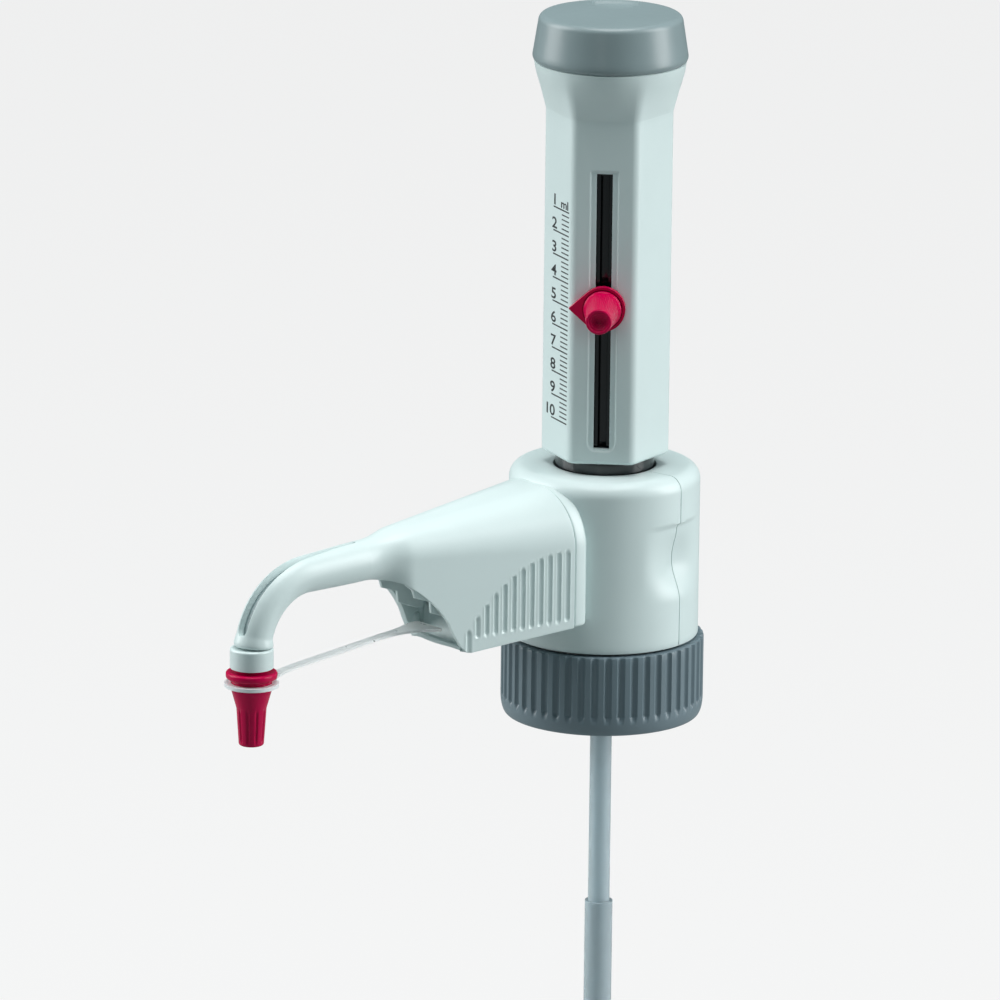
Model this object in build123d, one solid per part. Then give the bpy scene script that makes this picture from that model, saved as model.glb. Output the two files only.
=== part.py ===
from build123d import *
import math
import os

# A bottle-top dispenser in millimetres. Its origin is the centre of the mounting ring's mouth, +Z is up
# along the piston axis, and the spout points along -X.

# Directions round the axis, in degrees from +X
SLOT_ANGLE = 225.0
SPOUT_ANGLE = 180.0
SEAM_ANGLE = 78.0

# Clearances
SLIDE_GAP = 0.1
TURN_GAP = 0.05
SEAM_GAP = 0.15
LOOSE_GAP = 0.3

# Bottle neck that the ring screws on, and the ring itself
NECK_THREAD_R = 22.75
NECK_DEPTH = 15.5
RING_R = 28.0
RING_MOUTH_R = 26.5
RING_EDGE_Z = 5.0
RING_TOP = 22.4
RING_WEB = 3.5
RING_WEB_HOLE_R = 18.0
RING_SKIRT_R = 24.6
FLUTE_COUNT = 48
FLUTE_R = 1.05
FLUTE_DEPTH = 0.85
FLUTE_BOTTOM = 4.6

# Seat on the bottle's rim
SEAT_R = 21.5
SEAT_THICK = 3.0
GASKET_THICK = 1.5
GASKET_BORE_R = 15.0

# Valve block
BLOCK_BOTTOM = 23.0
BLOCK_TOP = 70.8
BLOCK_R = 26.35
BLOCK_WALL = 2.2
BLOCK_EDGE_R = 4.0
CORE_R = 20.4
CORE_TOP = 57.0
CORE_BOSS_R = 13.2
CORE_BOSS_TOP = 63.0
SCOOP_Z = 46.5
SCOOP_R = 11.5
SCOOP_DEPTH = 2.4
SCOOP_FLAT = 2.6
SCOOP_GROWTH = 0.035

# Dosing cylinder, piston and sleeve
STROKE = 66.0
VOLUME_ML = 10.0
GLASS_WALL = 1.55
GLASS_BOTTOM = 46.0
GLASS_SEAL = 1.2
HEAD_BOTTOM = 47.0
HEAD_HEIGHT = 8.0
HEAD_SIDE_GAP = 0.25
HEAD_CHAMFER = 0.8
SEAL_WIDTH = 1.15
SEAL_HEIGHT = 2.3
SEAL_PLAY = 0.02
GLASS_SPARE = 2.0
SLEEVE_R = 10.6
SLEEVE_BORE_R = 9.2
STOP_R = 11.7
STOP_THICK = 2.4
GUIDE_R = 13.7
GUIDE_TOP = 76.0
ROD_R = 4.0
ROD_END_R = 3.0
ROD_STUD_R = 2.4
ROD_COLLAR_R = 6.0
ROD_COLLAR_HEIGHT = 4.0
PUMP_R = 5.5
PUMP_BOTTOM = 38.0

# Piston housing
HOUSING_BOTTOM = 74.0
HOUSING_APOTHEM = 15.5
HOUSING_WALL = 1.5
HOUSING_CORNER_R = 3.0
HOUSING_INNER_CORNER_R = 1.6
HOUSING_BEVEL = 0.9
HOUSING_TOP = 184.0
WEB_Z = 170.0
WEB_THICK = 3.0
CROWN_BORE_R = 16.0
CROWN_STEP_Z = 178.6
CROWN_MOUTH_R = 18.6
CROWN_LEAD = 12.0
CROWN_LAP = 8.0
CROWN_SINK = 1.3
CROWN_FLARE = ((0.30, 0.1), (0.53, 2.0), (0.83, 4.5))
SLOT_WIDTH = 4.4
SLOT_BOTTOM = 78.5
SLOT_TOP = 155.7
RELIEF_WIDTH = 7.6
RELIEF_DEPTH = 0.35
RELIEF_MARGIN = 0.7
RELIEF_CORNER_R = 2.4

# Volume scale: the first and last marks, in millilitres and millimetres up
MARK_FIRST_Z = 144.7
MARK_FIRST_ML = 1.0
POINTER_ML = 5.0
MARK_PITCH = STROKE / VOLUME_ML

# Cap, nut and adjuster under it
CAP_TOP = 197.2
CAP_R = 21.4
CAP_TOP_R = 19.9
CAP_EDGE_R = 2.2
CAP_OVERHANG = 0.6
CAP_WALL = 2.0
CAP_SPIGOT_DEPTH = 4.0
CAP_RIM_Z = 1.2
CAP_RIM_SLOPE = 0.3
CAP_NOTCH_R = 8.8
CAP_NOTCH_X = 14.5
CAP_NOTCH_DEPTH = 1.1
NUT_APOTHEM = 6.0
NUT_HEIGHT = 5.0
ADJUSTER_R = 12.5
ADJUSTER_HEIGHT = 3.6
ADJUSTER_NOTCHES = 20
ADJUSTER_NOTCH_R = 0.9

# Volume pointer, clamp and knob, along the slot facet's outward normal
TRACK_FLOOR_N = 12.1
TRACK_FLOOR = 0.6
TRACK_SIDE = 1.3
TRACK_HALF_WIDTH = 6.4
TRACK_LENGTH_SPARE = 1.6
SHOE_THICK = 0.8
SHOE_HALF_HEIGHT = 5.0
SHOE_BOSS_R = 2.05
SHOE_BOSS_HEIGHT = 0.8
LUG_HALF_WIDTH = 1.0
LUG_HEIGHT = 3.0
PLATE_R = 6.2
PLATE_TIP = 9.3
PLATE_THICK = 1.0
PLATE_RIM = 0.9
PLATE_SPIGOT = 0.55
PLATE_SPIGOT_REACH = 4.5
KNOB_BASE_R = 5.2
KNOB_TIP_R = 3.5
KNOB_COLLAR = 1.6
KNOB_REACH = 16.4
KNOB_DISH_R = 2.4
KNOB_DISH_DEPTH = 1.2
KNOB_EDGE_R = 0.6
KNOB_SCREW_PLAY = 0.02
SCREW_R = 1.5
SCREW_IN_KNOB = 7.0
SCREW_SET_BACK = 0.15

# Filling valve and tubes under the block
FILL_BODY_R = 7.0
FILL_BODY_TOP = 32.0
FILL_HEX_APOTHEM = 7.6
FILL_HEX_HEIGHT = 3.0
FILL_NIPPLE_LENGTH = 13.0
FILL_BORE_R = 1.2
FILL_BALL_R = 2.5
FILL_CHAMBER_R = 3.3
FILL_SEAT_Z = 19.0
FILL_LIFT = 1.5
FILL_HOLES = 3
FILL_HOLE_R = 0.8
SEAL_RING_R = 0.95
UPPER_TUBE_R = 3.0
UPPER_TUBE_BORE_R = 2.0
UPPER_TUBE_BOTTOM = -128.0
LOWER_TUBE_R = 3.85
LOWER_TUBE_TOP = -55.0
LOWER_TUBE_LENGTH = 140.0
LOWER_TUBE_SLANT = 5.0

# Spout: u is the distance from the axis along -X, w the half width
FLANGE_U = 26.3
FLANGE_HALF_WIDTH = 18.8
FLANGE_BOTTOM = 32.2
FLANGE_TOP = 69.2
FLANGE_ARCH_R = 15.0
FLANGE_FOOT_R = 1.5
SPOUT_JOINT_GAP = 0.3
SPOUT_WALL = 1.8
BELL_END_U = 88.0
BELL_END_STEP = 0.4
BELL_END_WALL = 2.0
BELL_TIP_U = 58.0
BELL_TIP_Z = 29.0
BELL_TIP_WIDTH = 1.2
BELL_CUT_TOP = 52.8
BELL_CUT_MID_U = 70.0
BELL_CUT_MID_Z = 45.0
TUBE_TOP_Z = 56.8
TUBE_COVER_R = 5.1
TUBE_COVER_BORE_R = 3.1
BEND_R = 18.0
TUBE_SWEEP_R = 20.0
NOZZLE_U = 124.8
COVER_BOTTOM = 39.7
FERRULE_R = 5.9
FERRULE_TOP = 39.4
FERRULE_BOTTOM = 33.9
FERRULE_EDGE_R = 0.6
FERRULE_ROOF = 1.0
WINDOW_HALF_WIDTH = 1.8
WINDOW_START_U = 89.0
WINDOW_BOTTOM = 42.6
RIB_COUNT = 12
RIB_PITCH = 2.7
RIB_FIRST_U = 28.9
RIB_WIDTH = 1.3
RIB_DEPTH = 0.55
RIB_TOP = 54.0
RIB_TOP_FALL = 18.9
RIB_TOP_CURVE = 2.2
RIB_LOW = 34.2
RIB_LOW_FALL = 1.6
CROSS_WEB_U = 56.0
CROSS_WEB_THICK = 1.8
CROSS_WEB_TOP = 39.5
STEP_RIB_THICK = 1.4
STEP_RIB_HEIGHT = 9.0
STEP_RIBS = ((60.0, 66.0, 45.5), (66.0, 72.5, 49.5), (72.5, 78.0, 53.0))

# Discharge line
PORT_Z = 42.0
PORT_R = 1.9
OUT_BODY_R = 5.0
OUT_BODY_IN_U = 13.0
OUT_BODY_END_U = 36.0
OUT_COLLAR_R = 6.5
OUT_COLLAR_THICK = 3.0
OUT_SOCKET_DEPTH = 5.0
OUT_PORT_R = 1.5
OUT_SEAT_U = 17.0
OUT_BALL_R = 2.2
OUT_CHAMBER_R = 2.9
OUT_TRAVEL = 1.2
OUT_SPRING_COILS = 4.8
OUT_TUBE_R = 2.8
OUT_TUBE_BORE_R = 1.7
OUT_TUBE_RISE_U = 46.0
OUT_TUBE_LEVEL_U = 72.0
OUT_TIP_R = 1.9
OUT_TIP_BORE_R = 1.1
OUT_TIP_TOP = 36.5
OUT_TIP_BOTTOM = 17.0

# Safety cap, its ring and its strap
SAFETY_FLANGE_R = 7.0
SAFETY_TOP = 32.8
SAFETY_FLANGE_BOTTOM = 30.9
SAFETY_NECK_R = 5.5
SAFETY_NECK_Z = 27.6
SAFETY_BARREL_R = 4.1
SAFETY_BARREL_Z = 22.6
SAFETY_END_R = 3.4
SAFETY_BOTTOM = 12.2
SAFETY_BORE_R = 2.4
SAFETY_SPIGOT_R = 3.9
SAFETY_SPIGOT_TOP = 36.0
SAFETY_RIBS = 10
SAFETY_END_EDGE = 0.9
SAFETY_RIM_EDGE = 0.7
SAFETY_GROOVE_R = 0.6
SAFETY_GROOVE_OUT = 0.35
STRAP_RING_Z = 28.7
STRAP_RING_THICK = 1.0
STRAP_RING_R = 7.4
STRAP_THICK = 0.8
STRAP_HALF_WIDTH = 1.6
STRAP_U = 64.5
STRAP_Z = 34.2
STRAP_BEND_U = 112.0
STRAP_BEND_Z = 33.0
ANCHOR_R = 4.0
ANCHOR_PLATE = 1.4
ANCHOR_DROP = 2.4
ANCHOR_RISE = 3.4
ANCHOR_SIDE_GAP = 1.6

# Air vent at the back of the block
VENT_Z = 33.0
VENT_R = 1.5
VENT_COLLAR_R = 2.6
VENT_CAP_R = 4.4
VENT_CAP_PROUD = 2.6
VENT_X = 12.5

# Sizes that follow from those above
SEAT_TOP = NECK_DEPTH - LOOSE_GAP
SEAT_BOTTOM = SEAT_TOP - SEAT_THICK
GASKET_BOTTOM = SEAT_BOTTOM - GASKET_THICK
WEB_TOP = NECK_DEPTH + RING_WEB
STUB_R = RING_WEB_HOLE_R - LOOSE_GAP
BORE_AREA = 1000.0 * VOLUME_ML / STROKE
GLASS_BORE_R = math.sqrt(BORE_AREA / math.pi)
GLASS_R = GLASS_BORE_R + GLASS_WALL
HEAD_TOP = HEAD_BOTTOM + HEAD_HEIGHT
SEAL_Z = HEAD_BOTTOM + HEAD_HEIGHT * 0.25
SEAL_INNER_R = GLASS_BORE_R - SEAL_WIDTH
GLASS_TOP = HEAD_TOP + STROKE + GLASS_SPARE
POINTER_Z = MARK_FIRST_Z - (POINTER_ML - MARK_FIRST_ML) * MARK_PITCH
MARK_LAST_Z = MARK_FIRST_Z - (VOLUME_ML - MARK_FIRST_ML) * MARK_PITCH
STOP_Z = MARK_LAST_Z + LUG_HEIGHT + STROKE
SLEEVE_TOP = STOP_Z + STOP_THICK
INNER_APOTHEM = HOUSING_APOTHEM - HOUSING_WALL
TRACK_TOP_N = INNER_APOTHEM - SLIDE_GAP
SHOE_TOP_N = INNER_APOTHEM - TURN_GAP
SHOE_BOTTOM_N = SHOE_TOP_N - SHOE_THICK
PLATE_N = HOUSING_APOTHEM + SLIDE_GAP
KNOB_N = PLATE_N + PLATE_THICK + SLIDE_GAP
KNOB_END_N = HOUSING_APOTHEM + KNOB_REACH
NUT_Z = WEB_Z + WEB_THICK + TURN_GAP
ADJUSTER_Z = NUT_Z + NUT_HEIGHT + TURN_GAP
ROD_TOP = ADJUSTER_Z + ADJUSTER_HEIGHT
CAP_BOTTOM = HOUSING_TOP + SLIDE_GAP
CAP_BORE_R = CROWN_BORE_R + 0.6
BELL_START_U = FLANGE_U + SPOUT_JOINT_GAP
BELL_END_HALF_WIDTH = TUBE_COVER_R + BELL_END_STEP
BELL_END_TOP = TUBE_TOP_Z + TUBE_COVER_R + BELL_END_STEP
BIG = 60.0


def disc(radius, bottom, top):
    return Pos(0, 0, bottom) * Cylinder(radius, top - bottom, align=(Align.CENTER, Align.CENTER, Align.MIN))


def tube(outer, inner, bottom, top):
    return disc(outer, bottom, top) - disc(inner, bottom - 1, top + 1)


def turned(points):
    """A solid turned about Z from an outline of (radius, height) points."""
    outline = Polyline([(r, 0, z) for r, z in points], close=True)
    return revolve(make_face(outline), Axis.Z, 360)


def hexagon(apothem, corner):
    """A rounded hexagon with one flat square to the slot's direction."""
    shape = RegularPolygon(apothem, 6, major_radius=False, rotation=30)
    return Rot(0, 0, SLOT_ANGLE) * fillet(shape.vertices(), corner)


def prism(shape, bottom, top):
    return Pos(0, 0, bottom) * extrude(shape, top - bottom)


def block(x0, x1, y0, y1, z0, z1):
    """A box between two corners."""
    size = Box(x1 - x0, y1 - y0, z1 - z0)
    return Pos((x0 + x1) / 2, (y0 + y1) / 2, (z0 + z1) / 2) * size


def along_x(radius, x0, x1, z):
    """A round bar along X at height z."""
    return Pos((x0 + x1) / 2, 0, z) * Rot(0, 90, 0) * Cylinder(radius, x1 - x0)


def at_slot(shape):
    """Turns a shape made facing +X to face out through the slot."""
    return Rot(0, 0, SLOT_ANGLE) * shape


def at_spout(shape):
    """Turns a shape made along +X, which stands for u, to lie along the spout."""
    return Rot(0, 0, SPOUT_ANGLE) * shape


def one(shape):
    """The largest solid of a shape, or the shape itself when it has only one."""
    solids = shape.solids()
    return max(solids, key=lambda s: s.volume)


def side_face(points):
    """A face in the spout's middle plane from (u, height) points."""
    return make_face(Polyline([(u, 0, z) for u, z in points], close=True))


def across(face, half_width):
    return extrude(face, half_width, dir=(0, 1, 0), both=True)


# Mounting ring and the seat on the bottle's rim


def mounting_ring():
    wall = Polyline((0, 0, 0), (RING_MOUTH_R, 0, 0))
    middle = ((RING_MOUTH_R + 2 * RING_R) / 3, 0, RING_EDGE_Z * 0.4)
    edge = ThreePointArc((RING_MOUTH_R, 0, 0), middle, (RING_R, 0, RING_EDGE_Z))
    rest = Polyline((RING_R, 0, RING_EDGE_Z), (RING_R, 0, RING_TOP), (0, 0, RING_TOP), (0, 0, 0))
    body = revolve(make_face([wall, edge, rest]), Axis.Z, 360)
    body -= disc(NECK_THREAD_R, -1, NECK_DEPTH)
    body -= disc(RING_WEB_HOLE_R, 0, RING_TOP)
    body -= disc(RING_SKIRT_R, WEB_TOP, RING_TOP + 1)
    centre = RING_R - FLUTE_DEPTH + FLUTE_R
    low = FLUTE_BOTTOM + FLUTE_R
    flute = Pos(centre, 0, low) * Cylinder(FLUTE_R, BIG, align=(Align.CENTER, Align.CENTER, Align.MIN))
    flute += Pos(centre, 0, low) * Sphere(FLUTE_R)
    flutes = [Rot(0, 0, n * 360 / FLUTE_COUNT) * flute for n in range(FLUTE_COUNT)]
    return body - flutes


def seal_flange():
    return tube(SEAT_R, STUB_R + SLIDE_GAP, SEAT_BOTTOM, SEAT_TOP)


def neck_gasket():
    return tube(SEAT_R, GASKET_BORE_R, GASKET_BOTTOM, SEAT_BOTTOM)


# Valve block: the core that holds the valves and the cylinder, and the two shells round it


def valve_block_core():
    body = disc(STUB_R, SEAT_BOTTOM, BLOCK_BOTTOM + LOOSE_GAP)
    body += disc(CORE_R, BLOCK_BOTTOM + LOOSE_GAP, CORE_TOP)
    body += disc(CORE_BOSS_R, CORE_TOP, CORE_BOSS_TOP)
    body -= disc(FILL_BODY_R + SLIDE_GAP, SEAT_BOTTOM - 1, FILL_BODY_TOP + SLIDE_GAP)
    body -= disc(FILL_BORE_R * 2, FILL_BODY_TOP, PUMP_BOTTOM + 1)
    body -= disc(PUMP_R, PUMP_BOTTOM, GLASS_BOTTOM)
    body -= disc(GLASS_R + SLIDE_GAP, GLASS_BOTTOM - GLASS_SEAL, CORE_BOSS_TOP + 1)
    body -= at_spout(along_x(PORT_R, 0, CORE_R + 1, PORT_Z))
    body -= at_spout(along_x(OUT_BODY_R + SLIDE_GAP, OUT_BODY_IN_U, CORE_R + 1, PORT_Z))
    body -= Pos(VENT_X, 0, 0) * disc(VENT_R, SEAT_BOTTOM - 1, VENT_Z)
    body -= along_x(VENT_R, VENT_X, CORE_R + 1, VENT_Z)
    return one(body)


def arch(half_width, bottom, top, round_r, foot_r):
    """The spout's cross-section, drawn in the Y-Z plane: straight sides under a rounded arch."""
    height = top - bottom
    shape = Rectangle(2 * half_width, height)
    upper = shape.vertices().group_by(Axis.Y)[-1]
    shape = fillet(upper, round_r)
    lower = shape.vertices().group_by(Axis.Y)[0]
    shape = fillet(lower, foot_r)
    return Pos(0, (bottom + top) / 2) * shape


def arch_at(u, shape):
    """Stands a section upright at distance u, its width along Y."""
    return Plane(origin=(u, 0, 0), x_dir=(0, 1, 0), z_dir=(1, 0, 0)) * shape


def flange_arch(inset):
    return arch(
        FLANGE_HALF_WIDTH - inset,
        FLANGE_BOTTOM + inset,
        FLANGE_TOP - inset,
        FLANGE_ARCH_R - inset,
        FLANGE_FOOT_R,
    )


def scoops(extra):
    """The finger recesses on the two seams; extra grows them for the wall behind."""
    radius = SCOOP_R + extra
    ball = scale(Sphere(radius), (1 / SCOOP_FLAT + extra * SCOOP_GROWTH, 1, 1))
    ball = Pos(BLOCK_R - SCOOP_DEPTH + SCOOP_R / SCOOP_FLAT, 0, SCOOP_Z) * ball
    return [Rot(0, 0, side * SEAM_ANGLE) * ball for side in (1, -1)]


def rear_wedge(half_angle):
    """The space behind the two seams, as a tall wedge round +X."""
    edge = 2 * BIG
    x, y = edge * math.cos(math.radians(half_angle)), edge * math.sin(math.radians(half_angle))
    shape = make_face(Polyline((0, 0), (x, -y), (edge * 1.5, 0), (x, y), close=True))
    return prism(shape, 0, 2 * BIG)


def block_shell():
    """Both shells as one, before the seams part them."""
    outside = disc(BLOCK_R, BLOCK_BOTTOM, BLOCK_TOP)
    outside = fillet(outside.edges().group_by(Axis.Z)[-1], BLOCK_EDGE_R)
    outside = outside - scoops(0)
    socket = extrude(arch_at(CORE_R, flange_arch(0)), FLANGE_U - CORE_R, dir=(1, 0, 0))
    outside += at_spout(socket)
    inside_r = BLOCK_R - BLOCK_WALL
    inside = disc(inside_r, BLOCK_BOTTOM + BLOCK_WALL, BLOCK_TOP - BLOCK_WALL)
    inside = inside - scoops(BLOCK_WALL)
    inside += disc(CORE_R + SLIDE_GAP, BLOCK_BOTTOM - 1, BLOCK_TOP - BLOCK_WALL)
    inside += disc(GUIDE_R + LOOSE_GAP, BLOCK_TOP - BLOCK_WALL - 1, BLOCK_TOP + 1)
    throat = extrude(arch_at(CORE_R - 6, flange_arch(BLOCK_WALL)), FLANGE_U, dir=(1, 0, 0))
    inside += at_spout(throat)
    return outside - inside


def front_shell():
    return one(block_shell() - rear_wedge(SEAM_ANGLE + math.degrees(SEAM_GAP / BLOCK_R)))


def rear_shell():
    shell = one(block_shell() & rear_wedge(SEAM_ANGLE))
    vent = along_x(VENT_COLLAR_R, CORE_R, BLOCK_R + 1, VENT_Z)
    return one(shell - vent)


def air_vent_cap():
    seat = BLOCK_R + SLIDE_GAP
    head = along_x(VENT_CAP_R, seat, seat + VENT_CAP_PROUD, VENT_Z)
    head = fillet(head.edges().group_by(Axis.X)[-1], 0.9)
    stem = along_x(VENT_COLLAR_R - SLIDE_GAP, CORE_R + SLIDE_GAP, seat, VENT_Z)
    hole = along_x(VENT_R, CORE_R, seat + VENT_CAP_PROUD / 2, VENT_Z)
    return head + stem - hole


# Dosing cylinder and the parts round it


def dosing_cylinder():
    return tube(GLASS_R, GLASS_BORE_R, GLASS_BOTTOM, GLASS_TOP)


def cylinder_seal():
    return tube(GLASS_R, PUMP_R + LOOSE_GAP, GLASS_BOTTOM - GLASS_SEAL, GLASS_BOTTOM)


def guide_sleeve():
    body = tube(SLEEVE_R, SLEEVE_BORE_R, CORE_BOSS_TOP, SLEEVE_TOP)
    collar = tube(STOP_R, SLEEVE_R - 0.5, STOP_Z, SLEEVE_TOP)
    return body + collar


def guide_ring():
    return tube(GUIDE_R, SLEEVE_R + TURN_GAP, CORE_BOSS_TOP, GUIDE_TOP)


# Piston and the housing that lifts it


def piston_rod():
    body = disc(ROD_R, HEAD_TOP, WEB_Z)
    body += disc(ROD_STUD_R, HEAD_TOP - HEAD_HEIGHT / 2, HEAD_TOP)
    body += disc(ROD_COLLAR_R, WEB_Z - ROD_COLLAR_HEIGHT, WEB_Z)
    return body + disc(ROD_END_R, WEB_Z, ROD_TOP)


def piston_head():
    body = disc(GLASS_BORE_R - HEAD_SIDE_GAP, HEAD_BOTTOM, HEAD_TOP)
    edge = body.edges().group_by(Axis.Z)[0]
    body = chamfer(edge, HEAD_CHAMFER)
    body -= disc(ROD_STUD_R + TURN_GAP, HEAD_TOP - HEAD_HEIGHT / 2 - TURN_GAP, HEAD_TOP + 1)
    groove = tube(GLASS_R, SEAL_INNER_R - TURN_GAP, SEAL_Z - TURN_GAP, SEAL_Z + SEAL_HEIGHT + TURN_GAP)
    return body - groove


def piston_seal():
    return tube(GLASS_BORE_R - SEAL_PLAY, SEAL_INNER_R, SEAL_Z, SEAL_Z + SEAL_HEIGHT)


def rod_nut():
    body = prism(hexagon(NUT_APOTHEM, 0.4), NUT_Z, NUT_Z + NUT_HEIGHT)
    return body - disc(ROD_END_R + TURN_GAP, NUT_Z - 1, NUT_Z + NUT_HEIGHT + 1)


def calibration_wheel():
    body = tube(ADJUSTER_R, ROD_END_R + TURN_GAP, ADJUSTER_Z, ADJUSTER_Z + ADJUSTER_HEIGHT)
    notch = Pos(ADJUSTER_R, 0, 0) * disc(ADJUSTER_NOTCH_R, ADJUSTER_Z - 1, ROD_TOP + 1)
    notches = [Rot(0, 0, n * 360 / ADJUSTER_NOTCHES) * notch for n in range(ADJUSTER_NOTCHES)]
    return body - notches


def crown():
    """The flared top of the housing, which rises out of the hexagon's sides and ends at the cap."""
    start = WEB_Z - CROWN_LEAD
    rise = HOUSING_TOP - start
    foot = (HOUSING_APOTHEM - CROWN_SINK, 0, start)
    mouth = (CAP_R - CAP_OVERHANG, 0, HOUSING_TOP)
    middle = [(HOUSING_APOTHEM + out, 0, start + share * rise) for share, out in CROWN_FLARE]
    flare = Spline(foot, *middle, mouth)
    rest = Polyline(mouth, (0, 0, HOUSING_TOP), (0, 0, start), foot)
    return revolve(make_face([flare, rest]), Axis.Z, 360)


def slot_tool(width, bottom, top, n0, n1):
    return at_slot(block(n0, n1, -width / 2, width / 2, bottom, top))


def piston_housing():
    body = prism(hexagon(HOUSING_APOTHEM, HOUSING_CORNER_R), HOUSING_BOTTOM, WEB_Z + CROWN_LAP)
    body = chamfer(body.faces().sort_by(Axis.Z)[0].outer_wire().edges(), HOUSING_BEVEL)
    body += crown()
    body -= prism(hexagon(INNER_APOTHEM, HOUSING_INNER_CORNER_R), HOUSING_BOTTOM - 1, WEB_Z)
    body -= disc(CROWN_BORE_R, WEB_Z + WEB_THICK, HOUSING_TOP + 1)
    body -= disc(CROWN_MOUTH_R, CROWN_STEP_Z, HOUSING_TOP + 1)
    body -= disc(ROD_END_R + SLIDE_GAP, WEB_Z - 1, WEB_Z + WEB_THICK + 1)
    body -= slot_tool(SLOT_WIDTH, SLOT_BOTTOM, SLOT_TOP, TRACK_FLOOR_N, BIG)
    half = RELIEF_WIDTH / 2
    floor_n = HOUSING_APOTHEM - RELIEF_DEPTH
    relief = block(floor_n, BIG, -half, half, SLOT_BOTTOM - RELIEF_MARGIN, SLOT_TOP + RELIEF_MARGIN)
    relief = fillet(relief.edges().filter_by(Axis.X).group_by(Axis.Z)[0], RELIEF_CORNER_R)
    return one(body - at_slot(relief))


def scale_track():
    """The black channel behind the slot, which the clamp shoe slides in."""
    bottom, top = SLOT_BOTTOM - TRACK_LENGTH_SPARE, SLOT_TOP + TRACK_LENGTH_SPARE
    body = block(TRACK_FLOOR_N, TRACK_TOP_N, -TRACK_HALF_WIDTH, TRACK_HALF_WIDTH, bottom, top)
    inner = TRACK_HALF_WIDTH - TRACK_SIDE
    body -= block(TRACK_FLOOR_N + TRACK_FLOOR, BIG, -inner, inner, bottom - 1, top + 1)
    groove = LUG_HALF_WIDTH + SLIDE_GAP * 2
    body -= block(0, BIG, -groove, groove, SLOT_BOTTOM, SLOT_TOP)
    return at_slot(body)


def top_cap():
    outline = [
        (0, CAP_BOTTOM),
        (CAP_R - CAP_RIM_SLOPE, CAP_BOTTOM),
        (CAP_R, CAP_BOTTOM + CAP_RIM_Z),
        (CAP_TOP_R, CAP_TOP),
        (0, CAP_TOP),
    ]
    body = turned(outline)
    body = fillet(body.edges().group_by(Axis.Z)[-1], CAP_EDGE_R)
    body -= disc(CAP_BORE_R, CAP_BOTTOM - 1, CAP_TOP - CAP_WALL - CAP_NOTCH_DEPTH)
    body += tube(CROWN_MOUTH_R - SLIDE_GAP, CAP_BORE_R, CAP_BOTTOM - CAP_SPIGOT_DEPTH, CAP_BOTTOM)
    notch = Pos(CAP_NOTCH_X, 0, 0) * disc(CAP_NOTCH_R, CAP_TOP - CAP_NOTCH_DEPTH, CAP_TOP + 1)
    return one(body - Rot(0, 0, SLOT_ANGLE - 180) * notch)


# Volume pointer, its clamp and its knob


def bar_at_pointer(radius, n0, n1):
    """A round bar along the facet's normal at the pointer's height."""
    return Pos((n0 + n1) / 2, 0, POINTER_Z) * Rot(0, 90, 0) * Cylinder(radius, n1 - n0)


def clamp_shoe():
    inner = TRACK_HALF_WIDTH - TRACK_SIDE - SLIDE_GAP * 2
    low, high = POINTER_Z - SHOE_HALF_HEIGHT, POINTER_Z + SHOE_HALF_HEIGHT
    body = block(SHOE_BOTTOM_N, SHOE_TOP_N, -inner, inner, low, high)
    body += bar_at_pointer(SHOE_BOSS_R, SHOE_TOP_N - 0.1, SHOE_TOP_N + SHOE_BOSS_HEIGHT)
    lug_n = TRACK_FLOOR_N + SLIDE_GAP
    lug_low, lug_top = POINTER_Z + SCREW_R + LOOSE_GAP, POINTER_Z + LUG_HEIGHT
    body += block(lug_n, SHOE_BOTTOM_N + 0.1, -LUG_HALF_WIDTH, LUG_HALF_WIDTH, lug_low, lug_top)
    return at_slot(body - bar_at_pointer(SCREW_R + TURN_GAP, 0, BIG))


def pointer_plate():
    """A round plate with one pointed side, a raised rim and a spigot that guides it in the slot."""
    touch = math.acos(PLATE_R / PLATE_TIP)
    tangent_y = -PLATE_R * math.cos(touch)
    tangent_z = PLATE_R * math.sin(touch)
    corners = [(0, -PLATE_TIP), (tangent_z, tangent_y), (0, 0), (-tangent_z, tangent_y)]
    tip = make_face(Polyline(corners, close=True))
    outline = Circle(PLATE_R) + tip
    seat = Plane(origin=(PLATE_N, 0, POINTER_Z), x_dir=(0, 0, 1), z_dir=(1, 0, 0))
    face = seat * (Rot(0, 0, 180) * outline)
    body = extrude(face, PLATE_THICK + PLATE_RIM, dir=(1, 0, 0))
    body -= bar_at_pointer(KNOB_BASE_R + LOOSE_GAP, PLATE_N + PLATE_THICK, BIG)
    guide = SLOT_WIDTH / 2 - SLIDE_GAP
    low, high = POINTER_Z - PLATE_SPIGOT_REACH, POINTER_Z + PLATE_SPIGOT_REACH
    body += block(PLATE_N - PLATE_SPIGOT, PLATE_N + PLATE_THICK / 5, -guide, guide, low, high)
    return at_slot(one(body - bar_at_pointer(SCREW_R + TURN_GAP * 2, 0, BIG)))


def volume_knob():
    length = KNOB_END_N - KNOB_N
    hole_r, hole_end = SCREW_R + KNOB_SCREW_PLAY, SCREW_IN_KNOB + SLIDE_GAP
    outline = [
        (hole_r, 0),
        (KNOB_BASE_R, 0),
        (KNOB_BASE_R, KNOB_COLLAR),
        (KNOB_TIP_R, length),
        (KNOB_DISH_R, length),
        (KNOB_DISH_R * 0.5, length - KNOB_DISH_DEPTH),
        (0, length - KNOB_DISH_DEPTH),
        (0, hole_end),
        (hole_r, hole_end),
    ]
    body = turned(outline)
    top = body.edges().filter_by(GeomType.CIRCLE).group_by(Axis.Z)[-1]
    body = fillet(top.sort_by(SortBy.RADIUS)[-1], KNOB_EDGE_R)
    return at_slot(Pos(KNOB_N, 0, POINTER_Z) * Rot(0, 90, 0) * body)


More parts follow.
